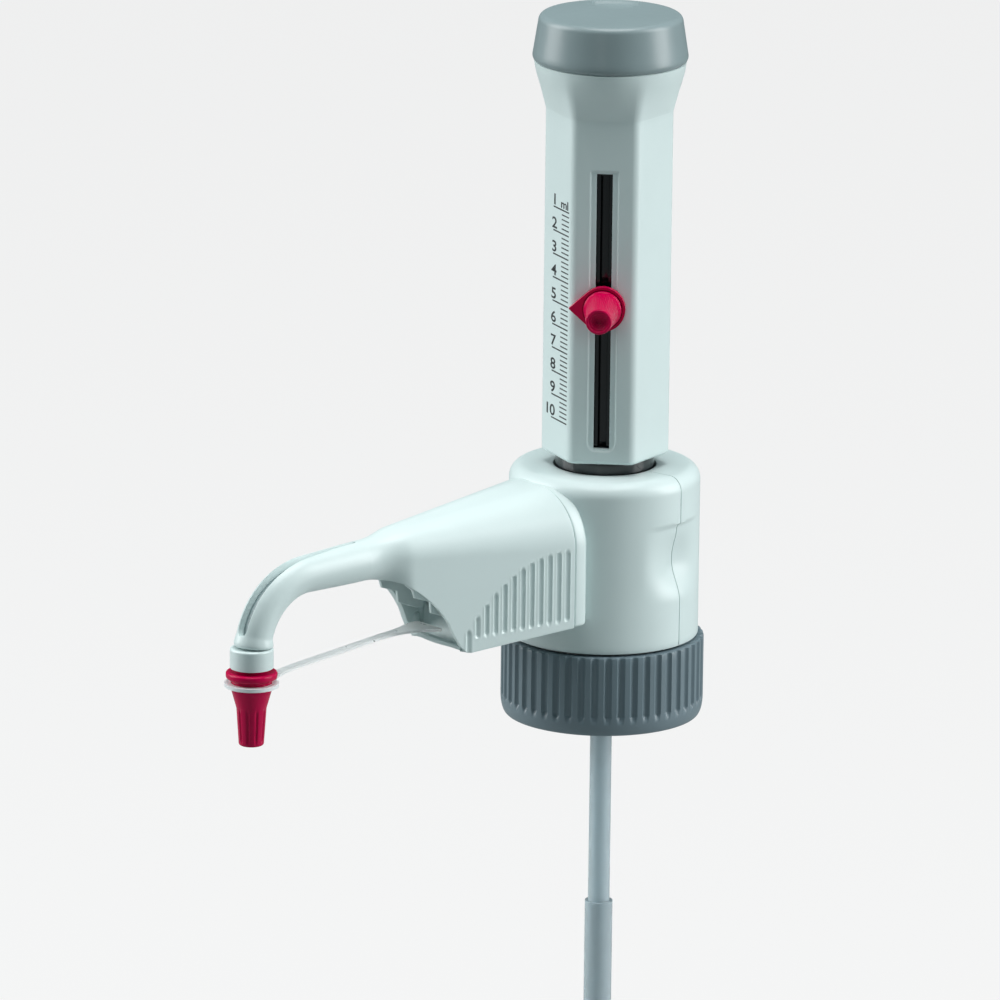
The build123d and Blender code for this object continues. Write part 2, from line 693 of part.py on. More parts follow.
def knob_screw():
    return at_slot(bar_at_pointer(SCREW_R, SHOE_BOTTOM_N + SCREW_SET_BACK, KNOB_N + SCREW_IN_KNOB))


# Filling side


def fill_ball_z():
    """Centre of the ball on its 45 degree seat."""
    return FILL_SEAT_Z - FILL_BORE_R + (FILL_BALL_R + TURN_GAP) * math.sqrt(2)


def filling_valve_body():
    hex_bottom = SEAT_BOTTOM - FILL_HEX_HEIGHT - SLIDE_GAP
    body = disc(FILL_BODY_R, SEAT_BOTTOM - SLIDE_GAP, FILL_BODY_TOP)
    body += prism(hexagon(FILL_HEX_APOTHEM, 0.5), hex_bottom, SEAT_BOTTOM - SLIDE_GAP)
    body += disc(UPPER_TUBE_BORE_R - TURN_GAP, hex_bottom - FILL_NIPPLE_LENGTH, hex_bottom)
    roof = fill_ball_z() + FILL_BALL_R + FILL_LIFT + SLIDE_GAP
    seat_rise = FILL_CHAMBER_R - FILL_BORE_R
    body -= turned(
        [
            (0, hex_bottom - FILL_NIPPLE_LENGTH - 1),
            (FILL_BORE_R, hex_bottom - FILL_NIPPLE_LENGTH - 1),
            (FILL_BORE_R, FILL_SEAT_Z),
            (FILL_CHAMBER_R, FILL_SEAT_Z + seat_rise),
            (FILL_CHAMBER_R, roof),
            (0, roof),
        ]
    )
    groove_z = (roof + FILL_BODY_TOP) / 2
    groove_half = SEAL_RING_R + SLIDE_GAP
    groove_floor = FILL_BODY_R - 2 * SEAL_RING_R
    groove = tube(FILL_BODY_R + 1, groove_floor, groove_z - groove_half, groove_z + groove_half)
    hole = Pos(FILL_CHAMBER_R * 0.6, 0, 0) * disc(FILL_HOLE_R, roof - 1, FILL_BODY_TOP + 1)
    holes = [Rot(0, 0, n * 360 / FILL_HOLES) * hole for n in range(FILL_HOLES)]
    return one(body - groove - holes)


def filling_valve_seal():
    roof = fill_ball_z() + FILL_BALL_R + FILL_LIFT + SLIDE_GAP
    middle_r = FILL_BODY_R - SEAL_RING_R + SEAL_PLAY
    return Pos(0, 0, (roof + FILL_BODY_TOP) / 2) * Torus(middle_r, SEAL_RING_R)


def filling_ball():
    return Pos(0, 0, fill_ball_z()) * Sphere(FILL_BALL_R)


def filling_tube_upper():
    top = SEAT_BOTTOM - FILL_HEX_HEIGHT - SLIDE_GAP * 2
    return tube(UPPER_TUBE_R, UPPER_TUBE_BORE_R, UPPER_TUBE_BOTTOM, top)


def filling_tube_lower():
    bottom = LOWER_TUBE_TOP - LOWER_TUBE_LENGTH
    body = tube(LOWER_TUBE_R, UPPER_TUBE_R + TURN_GAP, bottom, LOWER_TUBE_TOP)
    slant = math.degrees(math.atan2(LOWER_TUBE_SLANT, 2 * LOWER_TUBE_R))
    below = Rot(0, slant, 0) * Pos(0, 0, -BIG / 2) * Box(BIG, BIG, BIG)
    return body - Pos(0, 0, bottom + LOWER_TUBE_SLANT / 2) * below


# Discharge side


def bell_section(u, inset):
    """The spout's arch at distance u, narrowing from the flange to the tube cover."""
    share = (u - BELL_START_U) / (BELL_END_U - BELL_START_U)
    half_width = FLANGE_HALF_WIDTH + (BELL_END_HALF_WIDTH - FLANGE_HALF_WIDTH) * share
    top = FLANGE_TOP + (BELL_END_TOP - FLANGE_TOP) * share
    round_r = FLANGE_ARCH_R + (TUBE_COVER_R - FLANGE_ARCH_R) * share
    bottom = BELL_TIP_Z - 2
    shape = arch(half_width - inset, bottom - inset, top - inset, round_r - inset, 0.4)
    return arch_at(u, shape)


def bell(inset, start, end):
    return loft([bell_section(u, inset) for u in (start, (start + end) / 2, end)])


def tube_path(bottom, start_points):
    """The line of the discharge tube from its first points, over the top and down at the nozzle."""
    points = start_points + [(NOZZLE_U, TUBE_TOP_Z), (NOZZLE_U, bottom)]
    radii = [TUBE_SWEEP_R] * (len(points) - 3) + [BEND_R]
    corners = [(u, 0, z) for u, z in points]
    if len(points) == 3:
        return FilletPolyline(*corners, radius=BEND_R)
    return FilletPolyline(*corners, radius=radii)


def pipe(path, radius):
    start = path @ 0
    direction = path % 0
    return sweep(Plane(origin=start, z_dir=direction) * Circle(radius), path)


def half_width_at(u):
    share = (u - BELL_START_U) / (BELL_END_U - BELL_START_U)
    return FLANGE_HALF_WIDTH + (BELL_END_HALF_WIDTH - FLANGE_HALF_WIDTH) * share


def rib_grooves():
    """Upright grooves on both cheeks of the bell, shorter towards the tip."""
    cuts = []
    taper = math.degrees(math.atan2(FLANGE_HALF_WIDTH - BELL_END_HALF_WIDTH, BELL_END_U - BELL_START_U))
    for n in range(RIB_COUNT):
        u = RIB_FIRST_U + n * RIB_PITCH
        share = n / (RIB_COUNT - 1)
        top = RIB_TOP - RIB_TOP_FALL * share ** RIB_TOP_CURVE
        low = RIB_LOW - RIB_LOW_FALL * share
        for side in (1, -1):
            y = side * (half_width_at(u) + 2 - RIB_DEPTH)
            cut = Rot(0, 0, -side * taper) * Box(RIB_WIDTH, 4, top - low)
            cuts.append(Pos(u, y, (top + low) / 2) * cut)
    return cuts


def bell_underside():
    """What is cut away below the bell: a sloping bottom and the curved front edge."""
    tip = (BELL_TIP_U + BELL_TIP_WIDTH, 0, BELL_TIP_Z)
    front = ThreePointArc(tip, (BELL_CUT_MID_U, 0, BELL_CUT_MID_Z), (BELL_END_U, 0, BELL_CUT_TOP))
    rest = Polyline(
        (BELL_END_U, 0, BELL_CUT_TOP),
        (NOZZLE_U, 0, BELL_CUT_TOP),
        (NOZZLE_U, 0, 0),
        (0, 0, 0),
        (0, 0, FLANGE_BOTTOM),
        (BELL_START_U, 0, FLANGE_BOTTOM),
        tip,
    )
    return across(make_face([front, rest]), BIG)


def step_ribs():
    """Stepped stiffening ribs inside each cheek."""
    ribs = None
    for side in (1, -1):
        for u0, u1, low in STEP_RIBS:
            outer = half_width_at(u0)
            inner = half_width_at(u1) - SPOUT_WALL - STEP_RIB_THICK
            y0, y1 = sorted((side * inner, side * outer))
            rib = block(u0, u1, y0, y1, low, low + STEP_RIB_HEIGHT)
            ribs = rib if ribs is None else ribs + rib
    return ribs


def discharge_housing():
    bell_out = bell(0, BELL_START_U, BELL_END_U)
    bell_in = bell(SPOUT_WALL, BELL_START_U - 1, BELL_END_U - BELL_END_WALL)
    cover_start = BELL_END_U - BELL_END_WALL / 2
    path_end = TUBE_TOP_Z - BEND_R - 1
    cover_path = tube_path(path_end, [(cover_start, TUBE_TOP_Z)])
    bore_path = tube_path(path_end - 1, [(BELL_END_U - 8, TUBE_TOP_Z)])
    body = bell_out - bell_in
    body += bell_out & step_ribs()
    web = block(CROSS_WEB_U - CROSS_WEB_THICK, CROSS_WEB_U, -BIG, BIG, 0, CROSS_WEB_TOP)
    body += bell_out & web
    body -= bell_underside()
    body += pipe(cover_path, TUBE_COVER_R)
    body -= pipe(bore_path, TUBE_COVER_BORE_R)
    body -= across(tube_window(), WINDOW_HALF_WIDTH) - block(0, BIG * 3, -BIG, BIG, 0, WINDOW_BOTTOM)
    body -= block(NOZZLE_U - BEND_R / 2, BIG * 3, -BIG, BIG, 0, COVER_BOTTOM)
    body -= rib_grooves()
    return at_spout(one(body))


def tube_window():
    """The long opening over the discharge tube, along the cover's upper and outer side."""
    bend_u, bend_z = NOZZLE_U - BEND_R, TUBE_TOP_Z - BEND_R
    mid = (bend_u + BEND_R * math.sqrt(0.5), 0, bend_z + BEND_R * math.sqrt(0.5))
    bend = ThreePointArc((bend_u, 0, TUBE_TOP_Z), mid, (NOZZLE_U, 0, bend_z))
    outside = NOZZLE_U + BIG / 2
    rest = Polyline(
        (NOZZLE_U, 0, bend_z),
        (outside, 0, bend_z),
        (outside, 0, TUBE_TOP_Z + BIG / 2),
        (WINDOW_START_U, 0, TUBE_TOP_Z + BIG / 2),
        (WINDOW_START_U, 0, TUBE_TOP_Z),
        (bend_u, 0, TUBE_TOP_Z),
    )
    return make_face([bend, rest])


def nozzle_ferrule():
    body = disc(FERRULE_R, FERRULE_BOTTOM, FERRULE_TOP)
    body = fillet(body.edges().group_by(Axis.Z)[-1], FERRULE_EDGE_R)
    body -= disc(SAFETY_SPIGOT_R + SLIDE_GAP, FERRULE_BOTTOM - 1, FERRULE_TOP - FERRULE_ROOF)
    body -= disc(OUT_TUBE_R + SLIDE_GAP, FERRULE_BOTTOM - 1, FERRULE_TOP + 1)
    return Pos(-NOZZLE_U, 0, 0) * body


def discharge_valve_body():
    length_in = OUT_BODY_IN_U + SLIDE_GAP
    body = along_x(OUT_BODY_R, length_in, OUT_BODY_END_U, PORT_Z)
    body += along_x(OUT_COLLAR_R, CORE_R + LOOSE_GAP, CORE_R + OUT_COLLAR_THICK, PORT_Z)
    chamber_end = out_stop_u()
    body -= along_x(OUT_PORT_R, length_in - 1, OUT_SEAT_U, PORT_Z)
    seat_rise = OUT_CHAMBER_R - OUT_PORT_R
    seat = turned([(0, 0), (OUT_PORT_R, 0), (OUT_CHAMBER_R, seat_rise), (0, seat_rise)])
    body -= Pos(OUT_SEAT_U, 0, PORT_Z) * Rot(0, 90, 0) * seat
    body -= along_x(OUT_CHAMBER_R, OUT_SEAT_U + seat_rise, chamber_end, PORT_Z)
    body -= along_x(OUT_TUBE_BORE_R, chamber_end - 1, OUT_BODY_END_U + 1, PORT_Z)
    body -= along_x(OUT_TUBE_R + TURN_GAP, OUT_BODY_END_U - OUT_SOCKET_DEPTH, OUT_BODY_END_U + 1, PORT_Z)
    return at_spout(body)


def out_ball_u():
    """Centre of the discharge ball on its 45 degree seat."""
    return OUT_SEAT_U - OUT_PORT_R + (OUT_BALL_R + TURN_GAP) * math.sqrt(2)


def out_stop_u():
    return out_ball_u() + OUT_BALL_R + OUT_SPRING_COILS + OUT_TRAVEL + TURN_GAP


def discharge_ball():
    return at_spout(Pos(out_ball_u(), 0, PORT_Z) * Sphere(OUT_BALL_R))


def discharge_spring():
    """The return spring's envelope, as a thin sleeve between the ball and the end of its chamber."""
    inner = OUT_BALL_R * 0.72
    start = out_ball_u() + inner + TURN_GAP
    body = along_x(OUT_CHAMBER_R - SLIDE_GAP, start, out_stop_u() - TURN_GAP, PORT_Z)
    body -= along_x(inner, 0, BIG, PORT_Z)
    return at_spout(one(body))


def discharge_tube():
    end_u = OUT_BODY_END_U - OUT_SOCKET_DEPTH + SLIDE_GAP * 2
    start = [(end_u, PORT_Z), (OUT_TUBE_RISE_U, PORT_Z), (OUT_TUBE_LEVEL_U, TUBE_TOP_Z)]
    path = tube_path(OUT_TIP_TOP, start)
    body = pipe(path, OUT_TUBE_R)
    tip = Pos(NOZZLE_U, 0, 0) * disc(OUT_TIP_R, OUT_TIP_BOTTOM, OUT_TIP_TOP + 0.5)
    body += tip
    body -= pipe(path, OUT_TUBE_BORE_R)
    body -= Pos(NOZZLE_U, 0, 0) * disc(OUT_TIP_BORE_R, OUT_TIP_BOTTOM - 1, OUT_TIP_TOP + 2)
    return at_spout(one(body))


# Safety cap and the strap that keeps it


def safety_cap():
    outline = [
        (0, SAFETY_BOTTOM),
        (SAFETY_END_R, SAFETY_BOTTOM),
        (SAFETY_BARREL_R, SAFETY_BARREL_Z),
        (SAFETY_NECK_R, SAFETY_NECK_Z),
        (SAFETY_NECK_R, SAFETY_FLANGE_BOTTOM),
        (SAFETY_FLANGE_R, SAFETY_FLANGE_BOTTOM),
        (SAFETY_FLANGE_R, SAFETY_TOP),
        (SAFETY_SPIGOT_R, SAFETY_TOP),
        (SAFETY_SPIGOT_R, SAFETY_SPIGOT_TOP),
        (0, SAFETY_SPIGOT_TOP),
    ]
    body = turned(outline)
    body = fillet(body.edges().group_by(Axis.Z)[0], SAFETY_END_EDGE)
    circles = body.edges().filter_by(GeomType.CIRCLE)
    body = fillet([e for e in circles if abs(e.radius - SAFETY_FLANGE_R) < 0.01], SAFETY_RIM_EDGE)
    body -= disc(SAFETY_BORE_R, OUT_TIP_BOTTOM - 2, SAFETY_SPIGOT_TOP + 1)
    groove_r = SAFETY_BARREL_R + SAFETY_GROOVE_OUT
    groove = Pos(groove_r, 0, 0) * disc(SAFETY_GROOVE_R, SAFETY_BOTTOM + 1.5, SAFETY_BARREL_Z - 0.5)
    grooves = [Rot(0, 0, n * 360 / SAFETY_RIBS) * groove for n in range(SAFETY_RIBS)]
    return Pos(-NOZZLE_U, 0, 0) * one(body - grooves)


def strap_ring():
    body = tube(STRAP_RING_R, SAFETY_NECK_R + SLIDE_GAP, STRAP_RING_Z, STRAP_RING_Z + STRAP_RING_THICK)
    return Pos(-NOZZLE_U, 0, 0) * body


def cap_strap():
    """The thin strap from its clip under the bell to the ring round the cap."""
    end_u = NOZZLE_U - STRAP_RING_R - SLIDE_GAP
    end_z = STRAP_RING_Z + STRAP_RING_THICK / 2 - STRAP_THICK / 2
    top = [(STRAP_U, STRAP_Z), (STRAP_BEND_U, STRAP_BEND_Z), (end_u, end_z)]
    points = top + [(u, z + STRAP_THICK) for u, z in reversed(top)]
    return at_spout(across(side_face(points), STRAP_HALF_WIDTH))


def strap_anchor():
    """The clip that holds the strap, seated on the bell's cross web."""
    seat = CROSS_WEB_U + SLIDE_GAP
    low, high = STRAP_Z - ANCHOR_DROP, STRAP_Z + ANCHOR_RISE
    body = Pos(seat + ANCHOR_R, 0, 0) * disc(ANCHOR_R, low, high)
    half = half_width_at(CROSS_WEB_U + ANCHOR_R) - SPOUT_WALL - ANCHOR_SIDE_GAP
    body += block(seat, seat + ANCHOR_PLATE, -half, half, low, high)
    slot_half = STRAP_HALF_WIDTH + SLIDE_GAP
    slot_low, slot_high = STRAP_Z - SLIDE_GAP, STRAP_Z + STRAP_THICK + SLIDE_GAP
    body -= block(seat + ANCHOR_R / 2, 2 * BIG, -slot_half, slot_half, slot_low, slot_high)
    return at_spout(body)


PARTS = {
    "mounting_ring": mounting_ring,
    "seal_flange": seal_flange,
    "neck_gasket": neck_gasket,
    "valve_block_core": valve_block_core,
    "front_shell": front_shell,
    "rear_shell": rear_shell,
    "air_vent_cap": air_vent_cap,
    "dosing_cylinder": dosing_cylinder,
    "cylinder_seal": cylinder_seal,
    "guide_sleeve": guide_sleeve,
    "guide_ring": guide_ring,
    "piston_rod": piston_rod,
    "piston_head": piston_head,
    "piston_seal": piston_seal,
    "rod_nut": rod_nut,
    "calibration_wheel": calibration_wheel,
    "piston_housing": piston_housing,
    "scale_track": scale_track,
    "top_cap": top_cap,
    "clamp_shoe": clamp_shoe,
    "pointer_plate": pointer_plate,
    "volume_knob": volume_knob,
    "knob_screw": knob_screw,
    "filling_valve_body": filling_valve_body,
    "filling_valve_seal": filling_valve_seal,
    "filling_ball": filling_ball,
    "filling_tube_upper": filling_tube_upper,
    "filling_tube_lower": filling_tube_lower,
    "discharge_housing": discharge_housing,
    "nozzle_ferrule": nozzle_ferrule,
    "discharge_valve_body": discharge_valve_body,
    "discharge_ball": discharge_ball,
    "discharge_spring": discharge_spring,
    "discharge_tube": discharge_tube,
    "strap_anchor": strap_anchor,
    "cap_strap": cap_strap,
    "strap_ring": strap_ring,
    "safety_cap": safety_cap,
}

os.makedirs("parts", exist_ok=True)
for name, make in PARTS.items():
    export_step(make(), f"parts/{name}.step")
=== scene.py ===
import math

import bpy
import bmesh
import numpy as np
from mathutils import Matrix, Vector


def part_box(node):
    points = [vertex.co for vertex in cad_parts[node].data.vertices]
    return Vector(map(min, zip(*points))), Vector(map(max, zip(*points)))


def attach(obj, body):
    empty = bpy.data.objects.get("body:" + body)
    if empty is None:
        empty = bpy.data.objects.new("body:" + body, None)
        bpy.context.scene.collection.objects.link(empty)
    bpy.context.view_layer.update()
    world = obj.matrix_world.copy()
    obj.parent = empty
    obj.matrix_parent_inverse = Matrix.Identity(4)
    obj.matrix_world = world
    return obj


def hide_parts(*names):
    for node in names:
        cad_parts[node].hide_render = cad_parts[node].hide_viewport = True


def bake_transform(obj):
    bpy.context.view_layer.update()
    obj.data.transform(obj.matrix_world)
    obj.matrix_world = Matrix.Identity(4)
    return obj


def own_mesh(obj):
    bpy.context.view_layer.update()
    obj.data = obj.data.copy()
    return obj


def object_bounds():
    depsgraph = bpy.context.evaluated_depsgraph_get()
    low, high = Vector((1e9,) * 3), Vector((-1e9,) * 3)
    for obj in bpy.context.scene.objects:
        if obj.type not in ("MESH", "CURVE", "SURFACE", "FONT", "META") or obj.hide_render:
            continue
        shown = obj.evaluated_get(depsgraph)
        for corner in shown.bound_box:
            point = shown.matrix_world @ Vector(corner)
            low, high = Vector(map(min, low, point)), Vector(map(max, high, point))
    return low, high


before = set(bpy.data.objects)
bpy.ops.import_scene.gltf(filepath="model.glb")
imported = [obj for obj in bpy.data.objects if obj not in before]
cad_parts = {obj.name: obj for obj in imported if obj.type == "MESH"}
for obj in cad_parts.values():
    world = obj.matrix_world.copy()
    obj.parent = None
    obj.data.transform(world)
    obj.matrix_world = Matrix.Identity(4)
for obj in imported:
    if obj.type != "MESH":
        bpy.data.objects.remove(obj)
CAD_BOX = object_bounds()

# Lengths below are in millimetres and angles in degrees; meshes are scaled to metres as they are made.
MM = 0.001

# Directions round the axis, counted from +X
SLOT_ANGLE = 225.0
SCALE_ANGLE = 165.0
SEAM_ANGLE = 78.0

# Mounting ring
RING_R = 28.0
RING_MOUTH_R = 26.5
RING_EDGE_Z = 5.0
RING_TOP = 22.4
RING_SKIRT_R = 24.6
RING_WEB = (15.5, 19.0)
RING_WEB_HOLE_R = 18.0
NECK_R = 22.75
FLUTES = 48
FLUTE_DEPTH = 0.85
FLUTE_HALF_WIDTH = 0.98
FLUTE_LOW = 5.6
THREAD_PITCH = 4.0
THREAD_DEPTH = 1.35

# Valve block
BLOCK_R = 26.35
BLOCK_Z = (23.0, 70.8)
BLOCK_EDGE_R = 4.0
BLOCK_OPENING_R = 14.05
BLOCK_WALL = 2.0
SEAM_GAP = 0.32
SCOOP_Z = (36.0, 47.0, 56.9, 58.1)
SCOOP_DEPTH = 3.0
SCOOP_REACH = 13.5

# Piston housing
HOUSING_Z = (74.0, 184.0)
HOUSING_APOTHEM = 15.5
HOUSING_CORNER_R = 3.0
HOUSING_WALL = 1.4
HOUSING_BEVEL = 0.9
FLARE_Z = 170.4
FLARE = ((FLARE_Z, 15.5), (176.0, 17.75), (180.2, 19.6), (182.4, 20.4), (184.0, 20.8))
SLOT_HALF_WIDTH = 2.2
SLOT_Z = (78.5, 155.7)
RELIEF_HALF_WIDTH = 3.8
RELIEF_DEPTH = 0.3
RELIEF_MARGIN = 0.7
RELIEF_CORNER = 2.4
WEB_R = 14.7
WEB_HOLE_R = 3.1
WEB_Z = (170.0, 173.0)

# Top cap
CAP_Z = (184.1, 197.08)
CAP_R = 21.3
CAP_TOP_R = 19.8
CAP_EDGE_R = 1.9
CAP_DISH_R = 6.8
CAP_DISH_X = 13.0
CAP_DISH_DEPTH = 1.0
CAP_ROOF = 3.6
CAP_BORE_R = 16.6

# Pointer and knob
KNOB_N = 16.7
KNOB_END_N = 31.9
KNOB_BASE_R = 5.2
KNOB_TIP_R = 3.5
KNOB_RIBS = 54
KNOB_RIB_DEPTH = 0.07

# Volume scale
FIRST_MARK_Z = 144.2
MARK_PITCH = 6.6
MARKS_PER_ML = 5
MARK_RIGHT = 7.35
LONG_MARK_LEFT = -2.3
SHORT_MARK_LEFT = 2.9
NUMERAL_SIZE = 4.3
NUMERAL_STRETCH = 1.55
UNIT_SIZE = 3.3
POINTER_Z = 118.3

# Spout, with u the distance from the axis along -X
BELL_START_U = 26.6
BELL_END_U = 88.0
BELL_HALF_WIDTH = (18.8, 5.9)
BELL_TOP = (69.2, 63.4)
BELL_ARCH_R = (15.0, 5.5)
FLANGE_U = 26.3
FLANGE_BACK_U = 21.7
FLANGE_FOOT_R = 0.8
FLANGE_BOTTOM = 32.2
COVER_R = (5.55, 4.95)
COVER_Z = 57.3
COVER_SLOPE = 0.03
BEND_R = 18.6
COVER_END_U = 124.3
COVER_BOTTOM = 39.7
NOZZLE_U = 124.8

# Safety cap and strap
SAFETY_TOP = 32.8
SAFETY_BORE_Z = 15.0
SAFETY_LOW = 12.2
SAFETY_GROOVES = 10


# Meshes


def link(name, verts, faces, material, body, sharp=38.0):
    """A mesh object from points in millimetres, smooth but for edges past an angle; rides on its body."""
    mesh = bpy.data.meshes.new(name)
    mesh.from_pydata([tuple(float(c) * MM for c in v) for v in verts], [], faces)
    mesh.update()
    work = bmesh.new()
    work.from_mesh(mesh)
    bmesh.ops.remove_doubles(work, verts=work.verts, dist=2e-6)
    loose = [v for v in work.verts if not v.link_faces]
    bmesh.ops.delete(work, geom=loose, context="VERTS")
    work.to_mesh(mesh)
    work.free()
    mesh.polygons.foreach_set("use_smooth", [True] * len(mesh.polygons))
    mesh.set_sharp_from_angle(angle=math.radians(sharp))
    mesh.materials.append(material)
    obj = bpy.data.objects.new(name, mesh)
    bpy.context.scene.collection.objects.link(obj)
    if body:
        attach(obj, body)
    return obj


def grid(points, wrap_rows=False, wrap_cols=False, skip=None):
    """Vertices and quads of a rows by columns grid; skip says which quads to leave out."""
    rows, cols = points.shape[:2]
    faces = []
    for r in range(rows if wrap_rows else rows - 1):
        for c in range(cols if wrap_cols else cols - 1):
            if skip is not None and skip(r, c):
                continue
            r2, c2 = (r + 1) % rows, (c + 1) % cols
            faces.append((r * cols + c, r * cols + c2, r2 * cols + c2, r2 * cols + c))
    return points.reshape(-1, 3), faces


def smooth(x, low, high):
    """0 below low, 1 above high, and an even curve between."""
    t = np.clip((np.asarray(x, float) - low) / (high - low), 0.0, 1.0)
    return t * t * (3 - 2 * t)


def rounded(points, radius, steps=5, closed=False):
    """A 2-D outline with its corners rounded to at most the radius."""
    pts = [np.array(p, float) for p in points]
    count = len(pts)
    out = []
    for i, p in enumerate(pts):
        if not closed and i in (0, count - 1):
            out.append(p)
            continue
        a, b = pts[i - 1] - p, pts[(i + 1) % count] - p
        la, lb = np.linalg.norm(a), np.linalg.norm(b)
        a, b = a / la, b / lb
        half = math.acos(max(-1.0, min(1.0, float(a @ b)))) / 2
        if half > math.radians(84):
            out.append(p)
            continue
        cut = min(radius / math.tan(half), la * 0.45, lb * 0.45)
        r = cut * math.tan(half)
        mid = a + b
        centre = p + mid / np.linalg.norm(mid) * (r / math.sin(half))
        start, end = p + a * cut - centre, p + b * cut - centre
        turn = math.atan2(start[0] * end[1] - start[1] * end[0], float(start @ end))
        for s in range(steps + 1):
            ang = turn * s / steps
            c, sn = math.cos(ang), math.sin(ang)
            out.append(centre + np.array([start[0] * c - start[1] * sn, start[0] * sn + start[1] * c]))
    return np.array(out)


def densify(profile, step):
    """Adds points to a 2-D outline so that none lie further apart than the step."""
    out = [profile[0]]
    for a, b in zip(profile[:-1], profile[1:]):
        n = max(1, int(math.ceil(np.linalg.norm(b - a) / step)))
        out += [a + (b - a) * k / n for k in range(1, n + 1)]
    return np.array(out)


def lathe(name, profile, material, body, segments=96, centre=(0.0, 0.0), closed=False, shape=None,
          sharp=38.0):
    """Turns an outline of (radius, height) points about a vertical axis. shape(angle, r, z) moves them."""
    ang = np.linspace(0, 2 * math.pi, segments, endpoint=False)
    r = np.repeat(profile[:, :1], segments, axis=1)
    z = np.repeat(profile[:, 1:], segments, axis=1)
    a = np.repeat(ang[None, :], len(profile), axis=0)
    if shape is not None:
        r, z = shape(a, r, z)
    pts = np.stack([centre[0] + r * np.cos(a), centre[1] + r * np.sin(a), z], axis=2)
    verts, faces = grid(pts, wrap_rows=closed, wrap_cols=True)
    return link(name, verts, faces, material, body, sharp)


def thicken(obj, wall, rim_bevel=0.0, group=None):
    mod = obj.modifiers.new("wall", "SOLIDIFY")
    mod.thickness = wall * MM
    mod.offset = -1.0
    mod.use_even_offset = True
    mod.use_quality_normals = True
    if group:
        mod.vertex_group = group
    if rim_bevel:
        soften(obj, rim_bevel)


def soften(obj, width, segments=2, angle=50.0):
    mod = obj.modifiers.new("edges", "BEVEL")
    mod.width = width * MM
    mod.segments = segments
    mod.limit_method = "ANGLE"
    mod.angle_limit = math.radians(angle)
    mod.use_clamp_overlap = True
    mod.harden_normals = False


# Materials


def node_material(name):
    mat = bpy.data.materials.new(name)
    mat.use_nodes = True
    tree = mat.node_tree
    return mat, tree, tree.nodes["Principled BSDF"]


def add_noise(tree, scale, detail=2.0, stretch=(1, 1, 1)):
    coords = tree.nodes.new("ShaderNodeTexCoord")
    mapping = tree.nodes.new("ShaderNodeMapping")
    mapping.inputs["Scale"].default_value = stretch
    noise = tree.nodes.new("ShaderNodeTexNoise")
    noise.inputs["Scale"].default_value = scale
    noise.inputs["Detail"].default_value = detail
    tree.links.new(coords.outputs["Object"], mapping.inputs["Vector"])
    tree.links.new(mapping.outputs["Vector"], noise.inputs["Vector"])
    return noise


def vary_colour(tree, shader, noise, colour, spread):
    """Base colour that drifts a little between a darker and a lighter shade."""
    ramp = tree.nodes.new("ShaderNodeValToRGB")
    low, high = ramp.color_ramp.elements
    low.position, high.position = 0.3, 0.7
    low.color = (*[c * (1 - spread) for c in colour], 1)
    high.color = (*[min(1.0, c * (1 + spread)) for c in colour], 1)
    tree.links.new(noise.outputs["Fac"], ramp.inputs["Fac"])
    tree.links.new(ramp.outputs["Color"], shader.inputs["Base Color"])


def vary_roughness(tree, shader, noise, low, high):
    span = tree.nodes.new("ShaderNodeMapRange")
    span.inputs["To Min"].default_value = low
    span.inputs["To Max"].default_value = high
    tree.links.new(noise.outputs["Fac"], span.inputs["Value"])
    tree.links.new(span.outputs["Result"], shader.inputs["Roughness"])


def add_bump(tree, shader, noise, distance, strength=1.0):
    bump = tree.nodes.new("ShaderNodeBump")
    bump.inputs["Distance"].default_value = distance * MM
    bump.inputs["Strength"].default_value = strength
    tree.links.new(noise.outputs["Fac"], bump.inputs["Height"])
    tree.links.new(bump.outputs["Normal"], shader.inputs["Normal"])


def plastic(name, colour, rough, spread=0.02, grain=2600.0, bump=0.012, coat=0.0, specular=0.5, milky=0.0):
    """Moulded plastic: faint colour drift, uneven gloss and a fine moulded grain."""
    mat, tree, shader = node_material(name)
    vary_colour(tree, shader, add_noise(tree, 55.0, 3.0), colour, spread)
    vary_roughness(tree, shader, add_noise(tree, 420.0, 4.0), rough * 0.88, rough * 1.12)
    add_bump(tree, shader, add_noise(tree, grain, 2.0), bump)
    shader.inputs["Specular IOR Level"].default_value = specular
    shader.inputs["Coat Weight"].default_value = coat
    shader.inputs["Coat Roughness"].default_value = 0.08
    if milky:
        shader.inputs["Subsurface Weight"].default_value = milky
        shader.inputs["Subsurface Radius"].default_value = (0.0012, 0.0012, 0.0012)
    return mat


def clear(name, colour, rough, transmission, ior=1.45, spread=0.03):
    """Clear or milky glass and tubing."""
    mat, tree, shader = node_material(name)
    vary_colour(tree, shader, add_noise(tree, 40.0, 2.0, (1, 1, 0.25)), colour, spread)
    vary_roughness(tree, shader, add_noise(tree, 300.0, 3.0), rough * 0.8, rough * 1.2)
    shader.inputs["Transmission Weight"].default_value = transmission
    shader.inputs["IOR"].default_value = ior
    return mat


def metal(name, colour, rough):
    mat, tree, shader = node_material(name)
    vary_colour(tree, shader, add_noise(tree, 200.0, 3.0), colour, 0.06)
    vary_roughness(tree, shader, add_noise(tree, 900.0, 3.0, (1, 1, 8)), rough * 0.7, rough * 1.3)
    add_bump(tree, shader, add_noise(tree, 2200.0, 2.0, (1, 1, 12)), 0.004)
    shader.inputs["Metallic"].default_value = 1.0
    return mat


